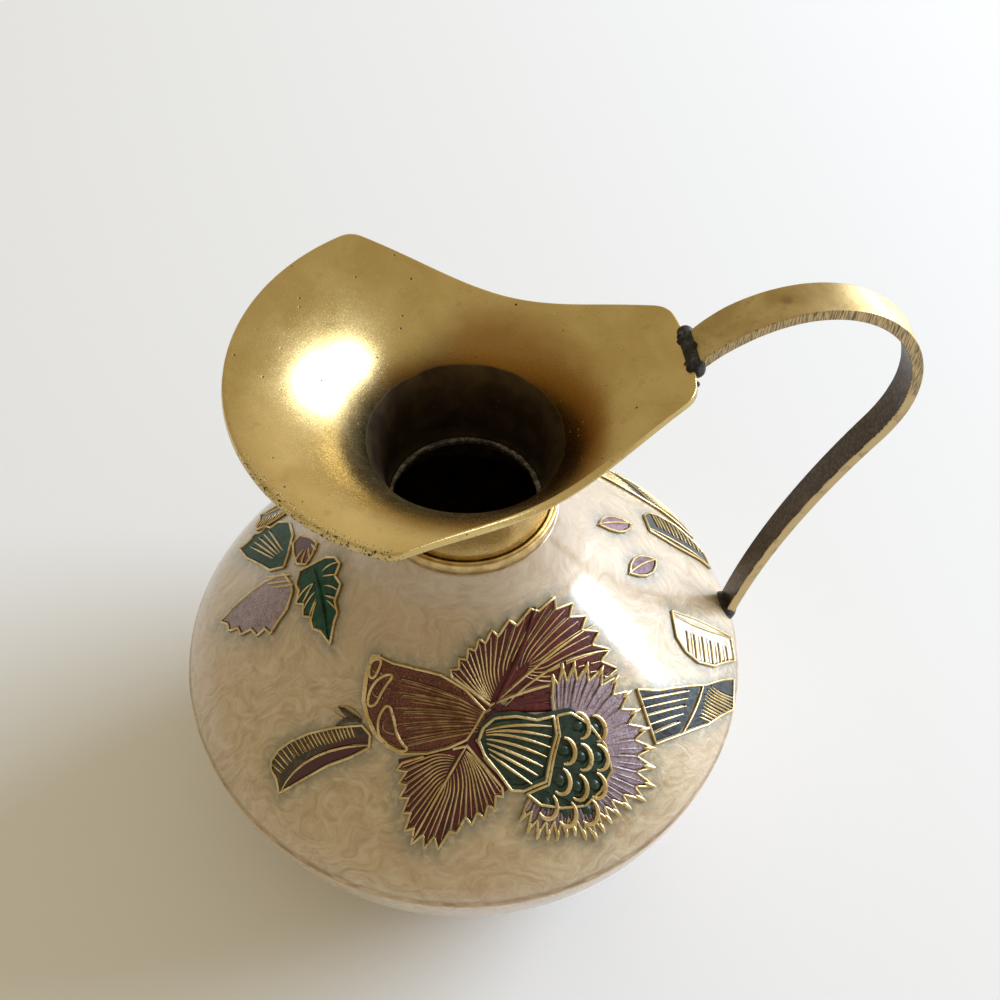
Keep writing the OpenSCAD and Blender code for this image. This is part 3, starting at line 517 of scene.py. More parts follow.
# Handle: one strap of brass, bent in an ear and soldered to the lip's tongue and to the shoulder.
# Its outer face is satin, its sides are filed across, and its inner face is coloured darker.

strap_t = 2.4 * MM
strap_root_w = 8.6 * MM
strap_bend_w = 6.2 * MM
strap_foot_w = 5 * MM
solder_gap = 0.2 * MM
steps_per_degree = 1.2
strap_land_h = 2.2 * MM
ear_middle = Vector((58 * MM, 0, 112 * MM))

# Each bend's radius and its turn in degrees, from the lip on; the last one curves the other way
strap_heading = 50
strap_bends = ((28.4 * MM, 44), (24.8 * MM, 112), (34 * MM, 13.5), (-174 * MM, 20.5))
lip_tail_x = lip_r - lip_shift
rim_z = flare_c.y + math.sqrt(flare_arc ** 2 - (flare_c.x - lip_tail_x) ** 2)


def make_strap():
    """A flat section spun round the centre of each bend in turn, then tapered."""
    shape = bmesh.new()
    x, z, heading = lip_tail_x + solder_gap, rim_z, math.radians(strap_heading)
    into = Vector((math.sin(heading), 0, -math.cos(heading)))
    corner = Vector((x, 0, z))
    half = Vector((0, 0.5, 0))
    ring = [shape.verts.new(p) for p in (corner - half, corner + half, corner + into * strap_t + half,
                                         corner + into * strap_t - half)]
    front = shape.faces.new(ring)
    geometry = [front] + list(front.edges) + ring
    place_now, turned = Vector((x, 0, z)), heading
    for number, (radius, turn) in enumerate(strap_bends):
        steps = max(8, int(turn * steps_per_degree))
        centre = place_now + Vector((math.sin(turned), 0, -math.cos(turned))) * radius
        angle = math.radians(turn) * (1 if radius > 0 else -1)
        made = bmesh.ops.spin(shape, geom=geometry, cent=centre, axis=(0, 1, 0), angle=angle,
                              steps=steps, use_duplicate=False)
        geometry = made["geom_last"]
        place_now = centre + Matrix.Rotation(angle, 3, "Y") @ (place_now - centre)
        turned -= angle
        if number == 1:
            crown_x, bend_z = centre.x, place_now.z
    top_z = max(vert.co.z for vert in shape.verts)
    land_z = crease_z + strap_land_h
    land = Vector((shoulder_c.x + math.sqrt(shoulder_arc ** 2 - (land_z - shoulder_c.y) ** 2), 0, land_z))
    draw = land - place_now - Vector((math.sin(turned), 0, -math.cos(turned))) * strap_t / 2
    for vert in shape.verts:
        if vert.co.x > crown_x or vert.co.z < rim_z - strap_t:
            vert.co += draw * (top_z - vert.co.z) / (top_z - place_now.z)
    bend_z += draw.z * (top_z - bend_z) / (top_z - place_now.z)
    reach = max(vert.co.x for vert in shape.verts)
    for vert in shape.verts:
        on_top = (vert.co.x - lip_tail_x) / (reach - lip_tail_x)
        plan_w = strap_root_w + (strap_bend_w - strap_root_w) * on_top
        if vert.co.z < bend_z:
            share = (vert.co.z - crease_z) / (bend_z - crease_z)
            front_w = strap_foot_w + (strap_bend_w - strap_foot_w) * share
        else:
            share = (vert.co.z - bend_z) / (top_z - bend_z)
            front_w = strap_bend_w + (strap_root_w - strap_bend_w) * share
        vert.co.y *= min(plan_w, front_w)
    bmesh.ops.recalc_face_normals(shape, faces=shape.faces)
    return settle("strap", shape)


def strap_face():
    cloud = grain(7, detail=4, warp=0.4)
    rub = grain(1.5, detail=5, rough=0.65)
    stain = distance(place(), (57.5, 0.3, 140.5))
    tone = mix(cloud.rise(0.3, 0.7), (0.44, 0.31, 0.12), (0.61, 0.47, 0.22))
    tone = mix(rub.rise(0.5, 0.75) * 0.5, tone, (0.30, 0.22, 0.11))
    tone = mix((1 - (stain + rub * 1.2).rise(2.0, 3.0)) * 0.75, tone, (0.13, 0.07, 0.03))
    return {"Base Color": tone, "Metallic": 1.0, "Roughness": 0.36 + rub * 0.2,
            "Normal": bump(rub, 0.05)}


def filed_side():
    """File marks in two directions high up, which give way to a dark grain below."""
    at = place()
    one, two = (grain(1.0, stretched(at, (0, lean, 0), (5.5, 1, 0.35)), detail=2) for lean in (0.9, -0.7))
    low = (1 - place_on(2).rise(112, 128)) * grain(3.5, detail=5, rough=0.7) * 1.1
    marks = one.math("MINIMUM", two).math("MAXIMUM", low)
    tone = mix(marks.rise(0.3, 0.55), (0.12, 0.08, 0.045), (0.56, 0.42, 0.21))
    return {"Base Color": tone, "Metallic": 0.9, "Roughness": 0.38, "Normal": bump(marks, 0.12)}


# The inner face, towards the ear's middle, is coloured darker than the outer face
def dark_inner_face():
    marks = grain(1.0, stretched(place(), (0.5, 0.4, 0.3), (4, 1.2, 0.6)), detail=4, rough=0.6)
    cloud = grain(6, detail=4)
    tone = mix(marks.rise(0.35, 0.75), (0.055, 0.045, 0.04), (0.13, 0.10, 0.075))
    return {"Base Color": mix(cloud.rise(0.55, 0.75) * 0.3, tone, (0.22, 0.16, 0.09)),
            "Metallic": 0.7, "Roughness": 0.42, "Normal": bump(marks, 0.06)}


strap = make_strap()
for material in (finish("strap_face", strap_face), finish("strap_filed_side", filed_side),
                 finish("strap_dark_skin", dark_inner_face)):
    strap.data.materials.append(material)
for face in strap.data.polygons:
    if abs(face.normal.y) > 0.7:
        face.material_index = 1
    else:
        face.material_index = 2 if face.normal.dot(ear_middle - face.center) > 0 else 0
soften(strap, width=0.3 * MM, limit=40)
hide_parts("handle_strap")


# Black solder: a hard black alloy holds the strap at both its ends. It ran over the lip's edge in
# lumps and was never cleaned off.

def black_solder():
    lump = grain(1.4, detail=5, rough=0.7)
    return {"Base Color": mix(lump.rise(0.45, 0.75), (0.012, 0.011, 0.011), (0.10, 0.09, 0.085)),
            "Metallic": 0.4, "Roughness": 0.42, "Normal": bump(lump, 0.5)}


dent_depth = 0.35
dents_per_metre = 900
solder = finish("black_solder", black_solder)
for node in ("handle_top_solder", "handle_foot_solder"):
    dress(node, solder)


def lumps(name, centre, spread, size, count, seed):
    """Lumps of solder that ran over the joint and stuck there, each dented by noise."""
    chance = random.Random(seed)
    shape = bmesh.new()
    for i in range(count):
        made = bmesh.ops.create_icosphere(shape, subdivisions=3, radius=size * chance.uniform(0.6, 1.1))
        move = Vector([c + chance.uniform(-s, s) for c, s in zip(centre, spread)])
        for vert in made["verts"]:
            dent = noise.noise(vert.co * dents_per_metre + Vector((i, seed, 0)))
            vert.co = vert.co * (1 + dent_depth * dent) + move
    piece = settle(name, shape)
    piece.data.materials.append(solder)


lumps("top_solder_lumps", (lip_tail_x - 0.3 * MM, 0, rim_z - 0.5 * MM),
      spread=(0.7 * MM, 4.6 * MM, 0.6 * MM), size=1.0 * MM, count=26, seed=3)
lumps("rim_solder_lumps", (lip_tail_x - 0.9 * MM, -6.0 * MM, rim_z - 1.1 * MM),
      spread=(0.5 * MM, 1.8 * MM, 0.5 * MM), size=0.6 * MM, count=12, seed=5)


# Thistle: a green cup with brass ribs over three rows of round scales. The ornament is cell-work:
# brass lines are soldered on the shell, coloured enamel is fired between them and ground smooth.
# Its points in plan are shares of the crease's radius. The back carries the same flower, mirrored.

line_r = 0.3 * MM
line_rise = 0.32 * MM
vein_r = 0.17 * MM
vein_rise = 0.38 * MM


def gold_line():
    wear = grain(0.9, detail=4)
    cloud = grain(6, detail=3)
    tone = mix(cloud.rise(0.35, 0.65), (0.54, 0.39, 0.17), (0.74, 0.59, 0.32))
    return {"Base Color": mix(wear.rise(0.55, 0.75) * 0.75, tone, (0.16, 0.11, 0.06)), "Metallic": 1.0,
            "Roughness": 0.27 + wear * 0.2, "Normal": bump(wear, 0.08)}


line_gold = finish("line_gold", gold_line)


def coloured(deep, light, glitter=None, coat=0.5, rough=0.36):
    """Translucent enamel, clouded from a deep to a light colour, with a glossy fired surface."""
    def write():
        cloud = grain(2, detail=5, rough=0.6, warp=0.8)
        tone = mix(cloud.rise(0.3, 0.72), deep, light)
        if glitter:
            tone = mix(grain(0.25, detail=1).rise(0.56, 0.66) * 0.7, tone, glitter)
        return {"Base Color": tone, "Metallic": 0.1, "Roughness": rough, "Specular IOR Level": 0.25,
                "Coat Weight": coat, "Coat Roughness": 0.07,
                "Normal": bump(cloud * 0.5 + grain(1.2) * 0.5, 0.2)}
    return write


def enamel(name, deep, light, *glitter, **gloss):
    return finish(name, coloured(deep, light, *glitter, **gloss))


def toward(base, reach, angle):
    """The point in plan at a reach from a base, at an angle in degrees."""
    return base[0] + reach * math.cos(math.radians(angle)), base[1] + reach * math.sin(math.radians(angle))


def inside(point, outline):
    """Whether a point in plan lies inside an outline."""
    x, y = point
    hit = False
    for (ax, ay), (bx, by) in zip(outline, outline[1:] + outline[:1]):
        if (ay > y) != (by > y) and x < (bx - ax) * (y - ay) / (by - ay) + ax:
            hit = not hit
    return hit


def bowed(p, c, q, count=9):
    """Points along a curve from p to q, drawn towards c."""
    p, c, q = Vector(p), Vector(c), Vector(q)
    shares = [i / count for i in range(count + 1)]
    return [tuple((1 - t) ** 2 * p + 2 * t * (1 - t) * c + t * t * q) for t in shares]


def divided(line, step=0.012):
    """The same line with points no further apart than a step."""
    made = []
    for a, b in zip(line, line[1:]):
        parts = max(1, math.ceil(math.dist(a, b) / step))
        made += [(a[0] + (b[0] - a[0]) * i / parts, a[1] + (b[1] - a[1]) * i / parts) for i in range(parts)]
    return made + [line[-1]]


def doubled(paths):
    """The paths, with one more half-way between each and the next."""
    made = list(paths[:1])
    for first, second in zip(paths, paths[1:]):
        made += [tuple(((a + c) / 2, (b + d) / 2) for (a, b), (c, d) in zip(first, second)), second]
    return made


def rim(outline):
    """The closed line of a motif's edge, moved in so that its outer side lies on the outline."""
    area = sum(ax * by - ay * bx for (ax, ay), (bx, by) in zip(outline, outline[1:] + outline[:1]))
    width = line_r / crease_r * (1 if area > 0 else -1)
    line = []
    for i, point in enumerate(outline):
        before = (Vector(point) - Vector(outline[i - 1])).normalized()
        after = (Vector(outline[(i + 1) % len(outline)]) - Vector(point)).normalized()
        a, b = Vector((-before.y, before.x)), Vector((-after.y, after.x))
        line.append(tuple(Vector(point) + (a + b) * width / max(1 + a.dot(b), 0.3)))
    return line + line[:1], line_r, line_rise, False


def vein(points, radius=vein_r):
    return points, radius, vein_rise, True


def veins(paths, radius, within=None):
    """Veins on straight (foot, head) or bowed (start, drawn towards, end) paths, cut off at an outline."""
    lines = [divided(bowed(*path) if len(path) == 3 else path) for path in paths]
    return [vein([p for p in line if not within or inside(p, within)], radius) for line in lines]


def lay_lines(name, lines, covers=(), node=None, mirror=1, material=line_gold, slot="line_brass"):
    """Round-topped lines along the shoulder, broken off under the motifs that cover them.

    Each line is (points, radius, rise, tapered), and rise is how high its middle stands.
    """
    curve = bpy.data.curves.new(name, "CURVE")
    curve.dimensions = "3D"
    curve.bevel_depth = 1.0
    curve.bevel_resolution = 2
    curve.use_fill_caps = True
    for points, radius, rise, tapered in lines:
        points = divided(points)
        run = []
        for i, plan in enumerate(points):
            show = not any(inside(plan, cover) for cover in covers)
            if show:
                share = i / (len(points) - 1)
                swell = min(1, 0.35 + 2.2 * share, 0.45 + 1.6 * (1 - share)) if tapered else 1
                run.append((plan, radius * swell))
            if run and (not show or i == len(points) - 1):
                if len(run) > 2:
                    spline = curve.splines.new("POLY")
                    spline.points.add(len(run) - 1)
                    for point, ((x, y), width) in zip(spline.points, run):
                        point.co = (*on_body(x * crease_r, y * crease_r * mirror, rise), 1)
                        point.radius = width
                run = []
    piece = bpy.data.objects.new(name, curve)
    bpy.context.scene.collection.objects.link(piece)
    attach(piece, "root")
    curve.materials.append(material)
    if node:
        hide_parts(node)


def lay_on_both(name, lines, covers=(), node=None, **look):
    """Lays the same lines on the front and, mirrored, on the back."""
    for side, mirror in (("front_", 1), ("back_", -1)):
        lay_lines(side + name, lines, covers, node and side + node, mirror, **look)


def dress_both(material, *nodes):
    for node in nodes:
        dress("front_" + node, material)
        dress("back_" + node, material)


cup_edge = ((0.205, -0.57), (0.21, -0.62), (0.185, -0.67), (0.16, -0.735), (0.08, -0.755))
cup = ((-0.05, -0.62), (-0.03, -0.59), (0.01, -0.57), (0.08, -0.57), (0.145, -0.58),
       *cup_edge, (0.04, -0.75), (0, -0.7), (-0.035, -0.66))
scales = (cup_edge[0], (0.26, -0.56), (0.32, -0.585), (0.37, -0.635), (0.385, -0.7), (0.34, -0.755),
          (0.28, -0.795), (0.2, -0.8), (0.13, -0.79), *cup_edge[:0:-1])
cup_curves = (
    ((-0.02, -0.6), (0.05, -0.59), (0.19, -0.6)), ((-0.02, -0.61), (0.05, -0.61), (0.18, -0.65)),
    ((-0.02, -0.63), (0.04, -0.65), (0.15, -0.695)), ((-0.015, -0.655), (0.02, -0.68), (0.11, -0.735)))
thistle_lift = 0.34 * MM
thistle_swell = 1.1
scale_base = (0.03, -0.63)
scale_reach = 0.032
scale_line_r = 0.52 * MM
dome_r = 1.7 * MM
dome_back, dome_front = 0.034, 0.03

# Each row of scales: its reach from the base, its first and last angle, and how many it has
scale_rows = ((0.2, -52, -8, 3), (0.255, -44, 8, 4), (0.31, -34, 6, 4))
scale_spots = [(toward(scale_base, reach, angle), angle)
               for reach, first, last, count in scale_rows
               for angle in (first + (last - first) * i / (count - 1) for i in range(count))]
crescents = [vein([toward(spot, scale_reach, angle + turn) for turn in range(-100, 101, 20)], scale_line_r)
             for spot, angle in scale_spots]

thistle = [rim(cup), rim(scales), *veins(doubled(cup_curves), radius=0.3 * MM), *crescents]
domes = [(toward(spot, dome_back, angle + 180), toward(spot, dome_front, angle))
         for spot, angle in scale_spots]

bottle_green = enamel("bottle_green_enamel", (0.007, 0.018, 0.012), (0.025, 0.06, 0.038), coat=0.4)
dress_both(bottle_green, "thistle_lines", "thistle_cup_enamel", "thistle_scale_enamel")
lay_on_both("thistle_brass", [(points, radius * thistle_swell, rise + thistle_lift, tapered)
                              for points, radius, rise, tapered in thistle])
lay_on_both("scale_domes", [(dome, dome_r, -dome_r / 2, True) for dome in domes],
            material=bottle_green, slot="bottle_green_enamel")


# Fan: pointed teeth of lilac enamel that stand out round the thistle. Each tooth has a thick brass
# line in its tip, and thin ribs of the enamel itself run down to the thistle, which covers its foot.

fan_base = (0.21, -0.675)
fan_reach = (
    (-140, 0.205), (-123, 0.225), (-109, 0.21), (-83, 0.19), (-63, 0.23), (-48, 0.22), (-31, 0.245),
    (-22, 0.285), (-16, 0.315), (-11, 0.335), (-3, 0.33), (8, 0.345), (18, 0.345), (26, 0.335), (39, 0.34),
    (47, 0.325), (65, 0.27), (85, 0.225), (95, 0.175))
fan_notches = [-140 + 9 * i for i in range(27)]
fan_notch_share = 0.82
fan_tips = [(first + second) / 2 for first, second in zip(fan_notches, fan_notches[1:])]


def reach_at(table, angle):
    """Looks up the reach of a fan at an angle, between the places of its table."""
    for (a, first), (b, second) in zip(table, table[1:]):
        if a <= angle <= b:
            return first + (second - first) * (angle - a) / (b - a)
    return table[0][1] if angle < table[0][0] else table[-1][1]


def toothed(base, table, notches, notch_share):
    """Pointed teeth round a base, as the outline is cut on the shell."""
    outline = [base]
    for first, second in zip(notches, notches[1:]):
        tip = (first + second) / 2
        outline.append(toward(base, notch_share * reach_at(table, first), first))
        outline.append(toward(base, reach_at(table, tip), tip))
    outline.append(toward(base, notch_share * reach_at(table, notches[-1]), notches[-1]))
    return outline


def spokes(angles, start, end, radius):
    """Lines of the fan between two shares of its reach."""
    return [vein([toward(fan_base, reach_at(fan_reach, a) * share, a) for share in (start, end)], radius)
            for a in angles]


fan = toothed(fan_base, fan_reach, fan_notches, fan_notch_share)
lilac = enamel("lilac_enamel", (0.18, 0.12, 0.14), (0.34, 0.25, 0.28), (0.56, 0.47, 0.50))
dress_both(lilac, "fan_enamel")
lay_on_both("fan_brass", [rim(fan), *spokes(fan_tips, start=0.86, end=0.99, radius=0.5 * MM)],
            [cup, scales], "fan_lines")
lay_on_both("fan_ribs",
            spokes(fan_notches, start=0.5, end=0.82, radius=0.26 * MM)
            + spokes(fan_tips, start=0.55, end=0.84, radius=vein_r),
            [cup, scales], material=lilac, slot="lilac_enamel")


# Petal: one broad bell of copper enamel, which opens towards the spout from under the thistle's
# cup. Bronze ribs run along it, and its mouth is edged with three rounded brass loops.

petal = (
    (-0.01, -0.555), (-0.07, -0.495), (-0.14, -0.45), (-0.21, -0.42), (-0.28, -0.385), (-0.32, -0.355),
    (-0.345, -0.345), (-0.37, -0.38), (-0.39, -0.445), (-0.385, -0.49), (-0.365, -0.54), (-0.33, -0.58),
    (-0.28, -0.615), (-0.21, -0.63), (-0.14, -0.63), (-0.08, -0.62), (-0.05, -0.595))
petal_ribs = [
    ((-0.09, -0.52), (-0.27, -0.435)), ((-0.09, -0.54), (-0.27, -0.475)), ((-0.09, -0.56), (-0.27, -0.515)),
    ((-0.095, -0.58), (-0.27, -0.555)), ((-0.1, -0.6), (-0.27, -0.595))]
petal_loops = (
    [(-0.315, -0.365), (-0.35, -0.355), (-0.365, -0.39), (-0.35, -0.405), (-0.33, -0.39)],
    [(-0.28, -0.415), (-0.325, -0.405), (-0.365, -0.425), (-0.38, -0.465), (-0.35, -0.47), (-0.325, -0.44)],
    [(-0.31, -0.475), (-0.35, -0.5), (-0.355, -0.55), (-0.32, -0.59), (-0.26, -0.61), (-0.295, -0.57),
     (-0.3, -0.52)])
petal_drops = ((-0.34, -0.375), (-0.345, -0.435), (-0.325, -0.53))
petal_mouth = petal[5:13]
mouth_r = 0.42 * MM
drop_reach = 0.022
drop_rise = 0.04 * MM
loop_r = 0.34 * MM


def rounded(points):
    """A closed line through the points, its corners cut off twice."""
    for _ in range(2):
        points = [tuple(Vector(a).lerp(Vector(b), t))
                  for a, b in zip(points, points[1:] + points[:1]) for t in (0.25, 0.75)]
    return points + points[:1]


def teardrop(centre, size, angle):
    """A drop that points at an angle."""
    tip = [toward(centre, 2 * size, angle)]
    return tip + [toward(centre, size, angle + 60 + 20 * i) for i in range(13)] + tip


def bronze_line():
    return {"Base Color": mix(grain(2, detail=4).rise(0.35, 0.65), (0.22, 0.11, 0.045), (0.42, 0.26, 0.12)),
            "Metallic": 0.9, "Roughness": 0.42}


# Bronze ribs fan out from under the cup, and every other one stops short of the loops
long_ribs = [((-0.02, -0.56 - 0.005 * i), foot, (head[0] - 0.025 * (i % 2), head[1]))
             for i, (foot, head) in enumerate(doubled(petal_ribs))]
fine_ribs = doubled(doubled(petal_ribs))[1::2]

copper = enamel("copper_enamel", (0.06, 0.014, 0.009), (0.14, 0.038, 0.02), (0.36, 0.15, 0.08), coat=0.25)
dress_both(copper, "petal_enamel")
lay_on_both("petal_brass", [rim(petal), (petal_mouth, mouth_r, line_rise, True),
                            *((rounded(loop), loop_r, vein_rise, False) for loop in petal_loops)],
            [cup], "petal_lines")
lay_on_both("petal_fill",
            [(teardrop(spot, drop_reach, angle=-60), loop_r, drop_rise, False) for spot in petal_drops],
            material=copper, slot="copper_enamel")
lay_on_both("petal_ribs",
            [vein(rib, radius=0.24 * MM) for rib in long_ribs] + veins(fine_ribs, radius=0.14 * MM),
            [cup], material=finish("line_bronze", bronze_line))


# Flower leaves: two fans of pointed maroon enamel with brass veins, of which the upper one also has
# a broad maroon rib. Petal, fan and thistle lie over them, and maroon fills the gaps in between.

upper_leaf_base = (0, -0.55)
upper_leaf_reach = (
    (12, 0.47), (20, 0.47), (30, 0.45), (36, 0.435), (42, 0.415), (48, 0.37), (55, 0.28), (63, 0.23),
    (72, 0.2), (83, 0.18), (97, 0.165), (114, 0.155), (129, 0.155), (145, 0.16))
upper_leaf_notches = [12 + 6.5 * i for i in range(7)] + [60 + 14 * i for i in range(7)]
lower_leaf_base = (-0.08, -0.625)
lower_leaf_reach = (
    (180, 0.24), (191, 0.24), (198, 0.255), (207, 0.265), (214, 0.285), (222, 0.305), (228, 0.295),
    (242, 0.27), (249, 0.235), (256, 0.205), (268, 0.195), (285, 0.185), (300, 0.175), (310, 0.17))
lower_leaf_notches = [180 + 8 * i for i in range(8)] + [247 + 13 * i for i in range(6)]
leaf_notch_share = 0.88
upper_midrib = ((0, -0.55), (0.12, -0.49), (0.375, -0.325))
upper_side_rib = ((0.05, -0.55), (0.2, -0.45), (0.42, -0.385))
upper_broad_rib = ((0.005, -0.555), (0.1, -0.47), (0.175, -0.32))
lower_midrib = ((-0.08, -0.625), (-0.16, -0.7), (-0.285, -0.82))

# The strips of maroon between the motifs and how thick each is; their tops stand at one height
fill_top = 0.42 * MM
fill_strips = (
    (((0.02, -0.56), (0.12, -0.558), (0.2, -0.556)), 1.4 * MM),
    (((0.06, -0.546), (0.13, -0.538), (0.2, -0.531)), 1.4 * MM),
    (((0.11, -0.532), (0.2, -0.51)), 1.4 * MM),
    (((-0.065, -0.615), (-0.02, -0.575), (0.03, -0.56)), 1.2 * MM),
    (((-0.08, -0.632), (-0.03, -0.69), (0.03, -0.745)), 1.1 * MM),
    (((-0.3, -0.628), (-0.18, -0.64), (-0.07, -0.628)), 1.0 * MM),
    (((-0.11, -0.622), (-0.055, -0.6), (-0.04, -0.585)), 1.1 * MM),
    (((-0.07, -0.5), (-0.03, -0.525), (0, -0.55)), 1.0 * MM),
    (((-0.075, -0.615), (-0.06, -0.635), (-0.045, -0.665)), 1.3 * MM),
    (((-0.015, -0.535), (0.01, -0.545), (0.035, -0.555)), 1.2 * MM))


def between(notches):
    """The angles of the inner notches and of the teeth's tips between the notches."""
    return [a for first, second in zip(notches, notches[1:]) for a in (first, (first + second) / 2)][1:]


def leaf_veins(base, table, angles, lean):
    """Veins that leave the leaf's middle line, which lies at the angle `lean`, the nearer it the later."""
    made = []
    for angle in angles:
        reach = reach_at(table, angle)
        start = 0.1 + 0.3 * max(0, 1 - abs(angle - lean) / 60)
        foot = toward(base, reach * start, angle + (lean - angle) * 0.65)
        middle, half = toward(base, reach * (start + 0.5) / 2, angle), toward(base, reach * 0.5, angle)
        made.append(vein(bowed(foot, middle, half) + [toward(base, reach * leaf_notch_share, angle)]))
    return made


upper_leaf = toothed(upper_leaf_base, upper_leaf_reach, upper_leaf_notches, leaf_notch_share)
lower_leaf = toothed(lower_leaf_base, lower_leaf_reach, lower_leaf_notches, leaf_notch_share)
upper_angles = between(upper_leaf_notches)

maroon = enamel("maroon_enamel", (0.035, 0.004, 0.006), (0.11, 0.012, 0.014), (0.18, 0.035, 0.02), coat=0.3)
dress_both(maroon, "upper_leaf_enamel", "lower_leaf_enamel")
lay_on_both("upper_leaf_brass", [
    rim(upper_leaf),
    *leaf_veins(upper_leaf_base, upper_leaf_reach, [a for a in upper_angles if a > 50], lean=50),
    *leaf_veins(upper_leaf_base, upper_leaf_reach, [a for a in upper_angles if a < 50], lean=36),
    *veins([upper_midrib], radius=0.3 * MM),
    *veins([upper_side_rib], radius=0.27 * MM)], [fan, petal, cup, scales], "upper_leaf_lines")
lay_on_both("upper_leaf_rib", veins([upper_broad_rib], radius=0.55 * MM), [fan, petal, cup, scales],
            material=maroon, slot="maroon_enamel")
lay_on_both("lower_leaf_brass", [
    rim(lower_leaf),
    *leaf_veins(lower_leaf_base, lower_leaf_reach, between(lower_leaf_notches), lean=222),
    *veins([lower_midrib], radius=0.28 * MM)], [petal, cup, scales], "lower_leaf_lines")
lay_on_both("maroon_fill", [(line, radius, fill_top - radius, False) for line, radius in fill_strips],
            material=maroon, slot="maroon_enamel")


# Side leaves: a ribbed leaf of olive and maroon towards the spout, with two dark leaflets, and a
# striped dark leaf and a curled one towards the handle. Brass lines hold the enamel of each.

ribbed_leaf = (
    (-0.375, -0.535), (-0.4, -0.5), (-0.485, -0.475), (-0.575, -0.455), (-0.64, -0.45), (-0.685, -0.455),
    (-0.715, -0.475), (-0.72, -0.5), (-0.705, -0.535), (-0.7, -0.58), (-0.61, -0.575), (-0.53, -0.57),
    (-0.45, -0.575), (-0.385, -0.57))
striped_leaf = (
    (0.5, -0.47), (0.585, -0.455), (0.71, -0.41), (0.785, -0.385), (0.93, -0.305), (0.9, -0.425),
    (0.77, -0.52), (0.655, -0.575), (0.55, -0.62))
curled_leaf = (
    (0.69, -0.17), (0.8, -0.155), (0.9, -0.155), (0.955, -0.15), (0.95, -0.245), (0.84, -0.315),
    (0.77, -0.325), (0.72, -0.305), (0.69, -0.265), (0.69, -0.215))
ribbed_middle = ((-0.71, -0.6), (-0.64, -0.47), (-0.34, -0.575))
striped_middle = ((0.79, -0.36), (0.735, -0.49), (0.62, -0.61))
curled_middle = ((0.66, -0.185), (0.81, -0.205), (1, -0.15))
ribbed_leaf_ribs = [
    ((-0.68, -0.525), (-0.725, -0.47)), ((-0.655, -0.515), (-0.7, -0.445)),
    ((-0.63, -0.505), (-0.665, -0.44)), ((-0.6, -0.505), (-0.635, -0.435)),
    ((-0.575, -0.505), (-0.605, -0.44)), ((-0.55, -0.505), (-0.58, -0.44)),
    ((-0.525, -0.51), (-0.555, -0.445)), ((-0.5, -0.515), (-0.525, -0.455)),
    ((-0.475, -0.52), (-0.495, -0.46)), ((-0.455, -0.52), (-0.47, -0.47)),
    ((-0.43, -0.525), (-0.445, -0.475))]
stripe_curves = (
    ((0.47, -0.515), (0.6, -0.475), (0.71, -0.43)), ((0.48, -0.56), (0.6, -0.515), (0.69, -0.48)),
    ((0.55, -0.585), (0.6, -0.56), (0.655, -0.535)))
tip_curves = [
    ((0.81, -0.385), (0.84, -0.415), (0.95, -0.365)), ((0.79, -0.405), (0.82, -0.43), (0.94, -0.395)),
    ((0.775, -0.425), (0.81, -0.45), (0.93, -0.42)), ((0.765, -0.45), (0.8, -0.47), (0.9, -0.45)),
    ((0.755, -0.475), (0.79, -0.485), (0.86, -0.475)), ((0.74, -0.5), (0.77, -0.505), (0.82, -0.5))]
curled_leaf_ribs = [
    ((0.745, -0.225), (0.735, -0.34)), ((0.775, -0.225), (0.765, -0.34)), ((0.81, -0.22), (0.8, -0.34)),
    ((0.845, -0.22), (0.835, -0.34)), ((0.88, -0.215), (0.87, -0.32)), ((0.915, -0.21), (0.91, -0.3))]
leaflets = (((-0.485, -0.475), (-0.44, -0.465), (-0.405, -0.495)),
            ((-0.47, -0.43), (-0.44, -0.47), (-0.405, -0.49)))
leaflet_edges = (((-0.49, -0.425), (-0.475, -0.47), (-0.415, -0.49)),
                 ((-0.475, -0.43), (-0.43, -0.44), (-0.405, -0.485)))

# The ribbed leaf's two colours meet on an arc in plan, given here in millimetres
divider_centre = (31.6, 50.1, 0)
divider_reach = 17.9


def olive_and_maroon():
    """The ribbed leaf is dark olive over its dividing line and maroon below it."""
    settings = coloured((0.025, 0.018, 0.01), (0.09, 0.06, 0.03))()
    either_side = Shade.node("VectorMath", {"operation": "ABSOLUTE"}, {0: in_plan()})
    far = distance(either_side, divider_centre)
    settings["Base Color"] = mix(far.rise(divider_reach - 0.1, divider_reach + 0.1),
                                 (0.07, 0.015, 0.02), settings["Base Color"])
    return settings


olive = finish("olive_enamel", olive_and_maroon)
slate = enamel("slate_enamel", (0.006, 0.009, 0.009), (0.04, 0.05, 0.05), coat=0.2)
dress_both(olive, "ribbed_leaf_enamel")
dress_both(slate, "striped_leaf_enamel", "curled_leaf_enamel")
# Painted highlight: the front curled leaf is painted a light silver-cream for the glare on it, while the
# back one stays slate
dress("front_curled_leaf_enamel", enamel("silver_enamel", (0.50, 0.43, 0.33), (0.76, 0.71, 0.62)))
lay_on_both("side_leaf_brass", [
    rim(ribbed_leaf), rim(striped_leaf), rim(curled_leaf),
    *veins([ribbed_middle], radius=0.3 * MM, within=ribbed_leaf),
    *veins(doubled(ribbed_leaf_ribs), radius=0.22 * MM, within=ribbed_leaf),
    *veins([striped_middle], radius=0.3 * MM, within=striped_leaf),
    *veins(doubled(stripe_curves), radius=0.24 * MM, within=striped_leaf),
    *veins(doubled(tip_curves), radius=0.24 * MM, within=striped_leaf),
    *veins([curled_middle], radius=0.28 * MM, within=curled_leaf),
    *veins(doubled(curled_leaf_ribs), radius=0.26 * MM, within=curled_leaf)],
    [fan, petal], "side_leaf_lines")
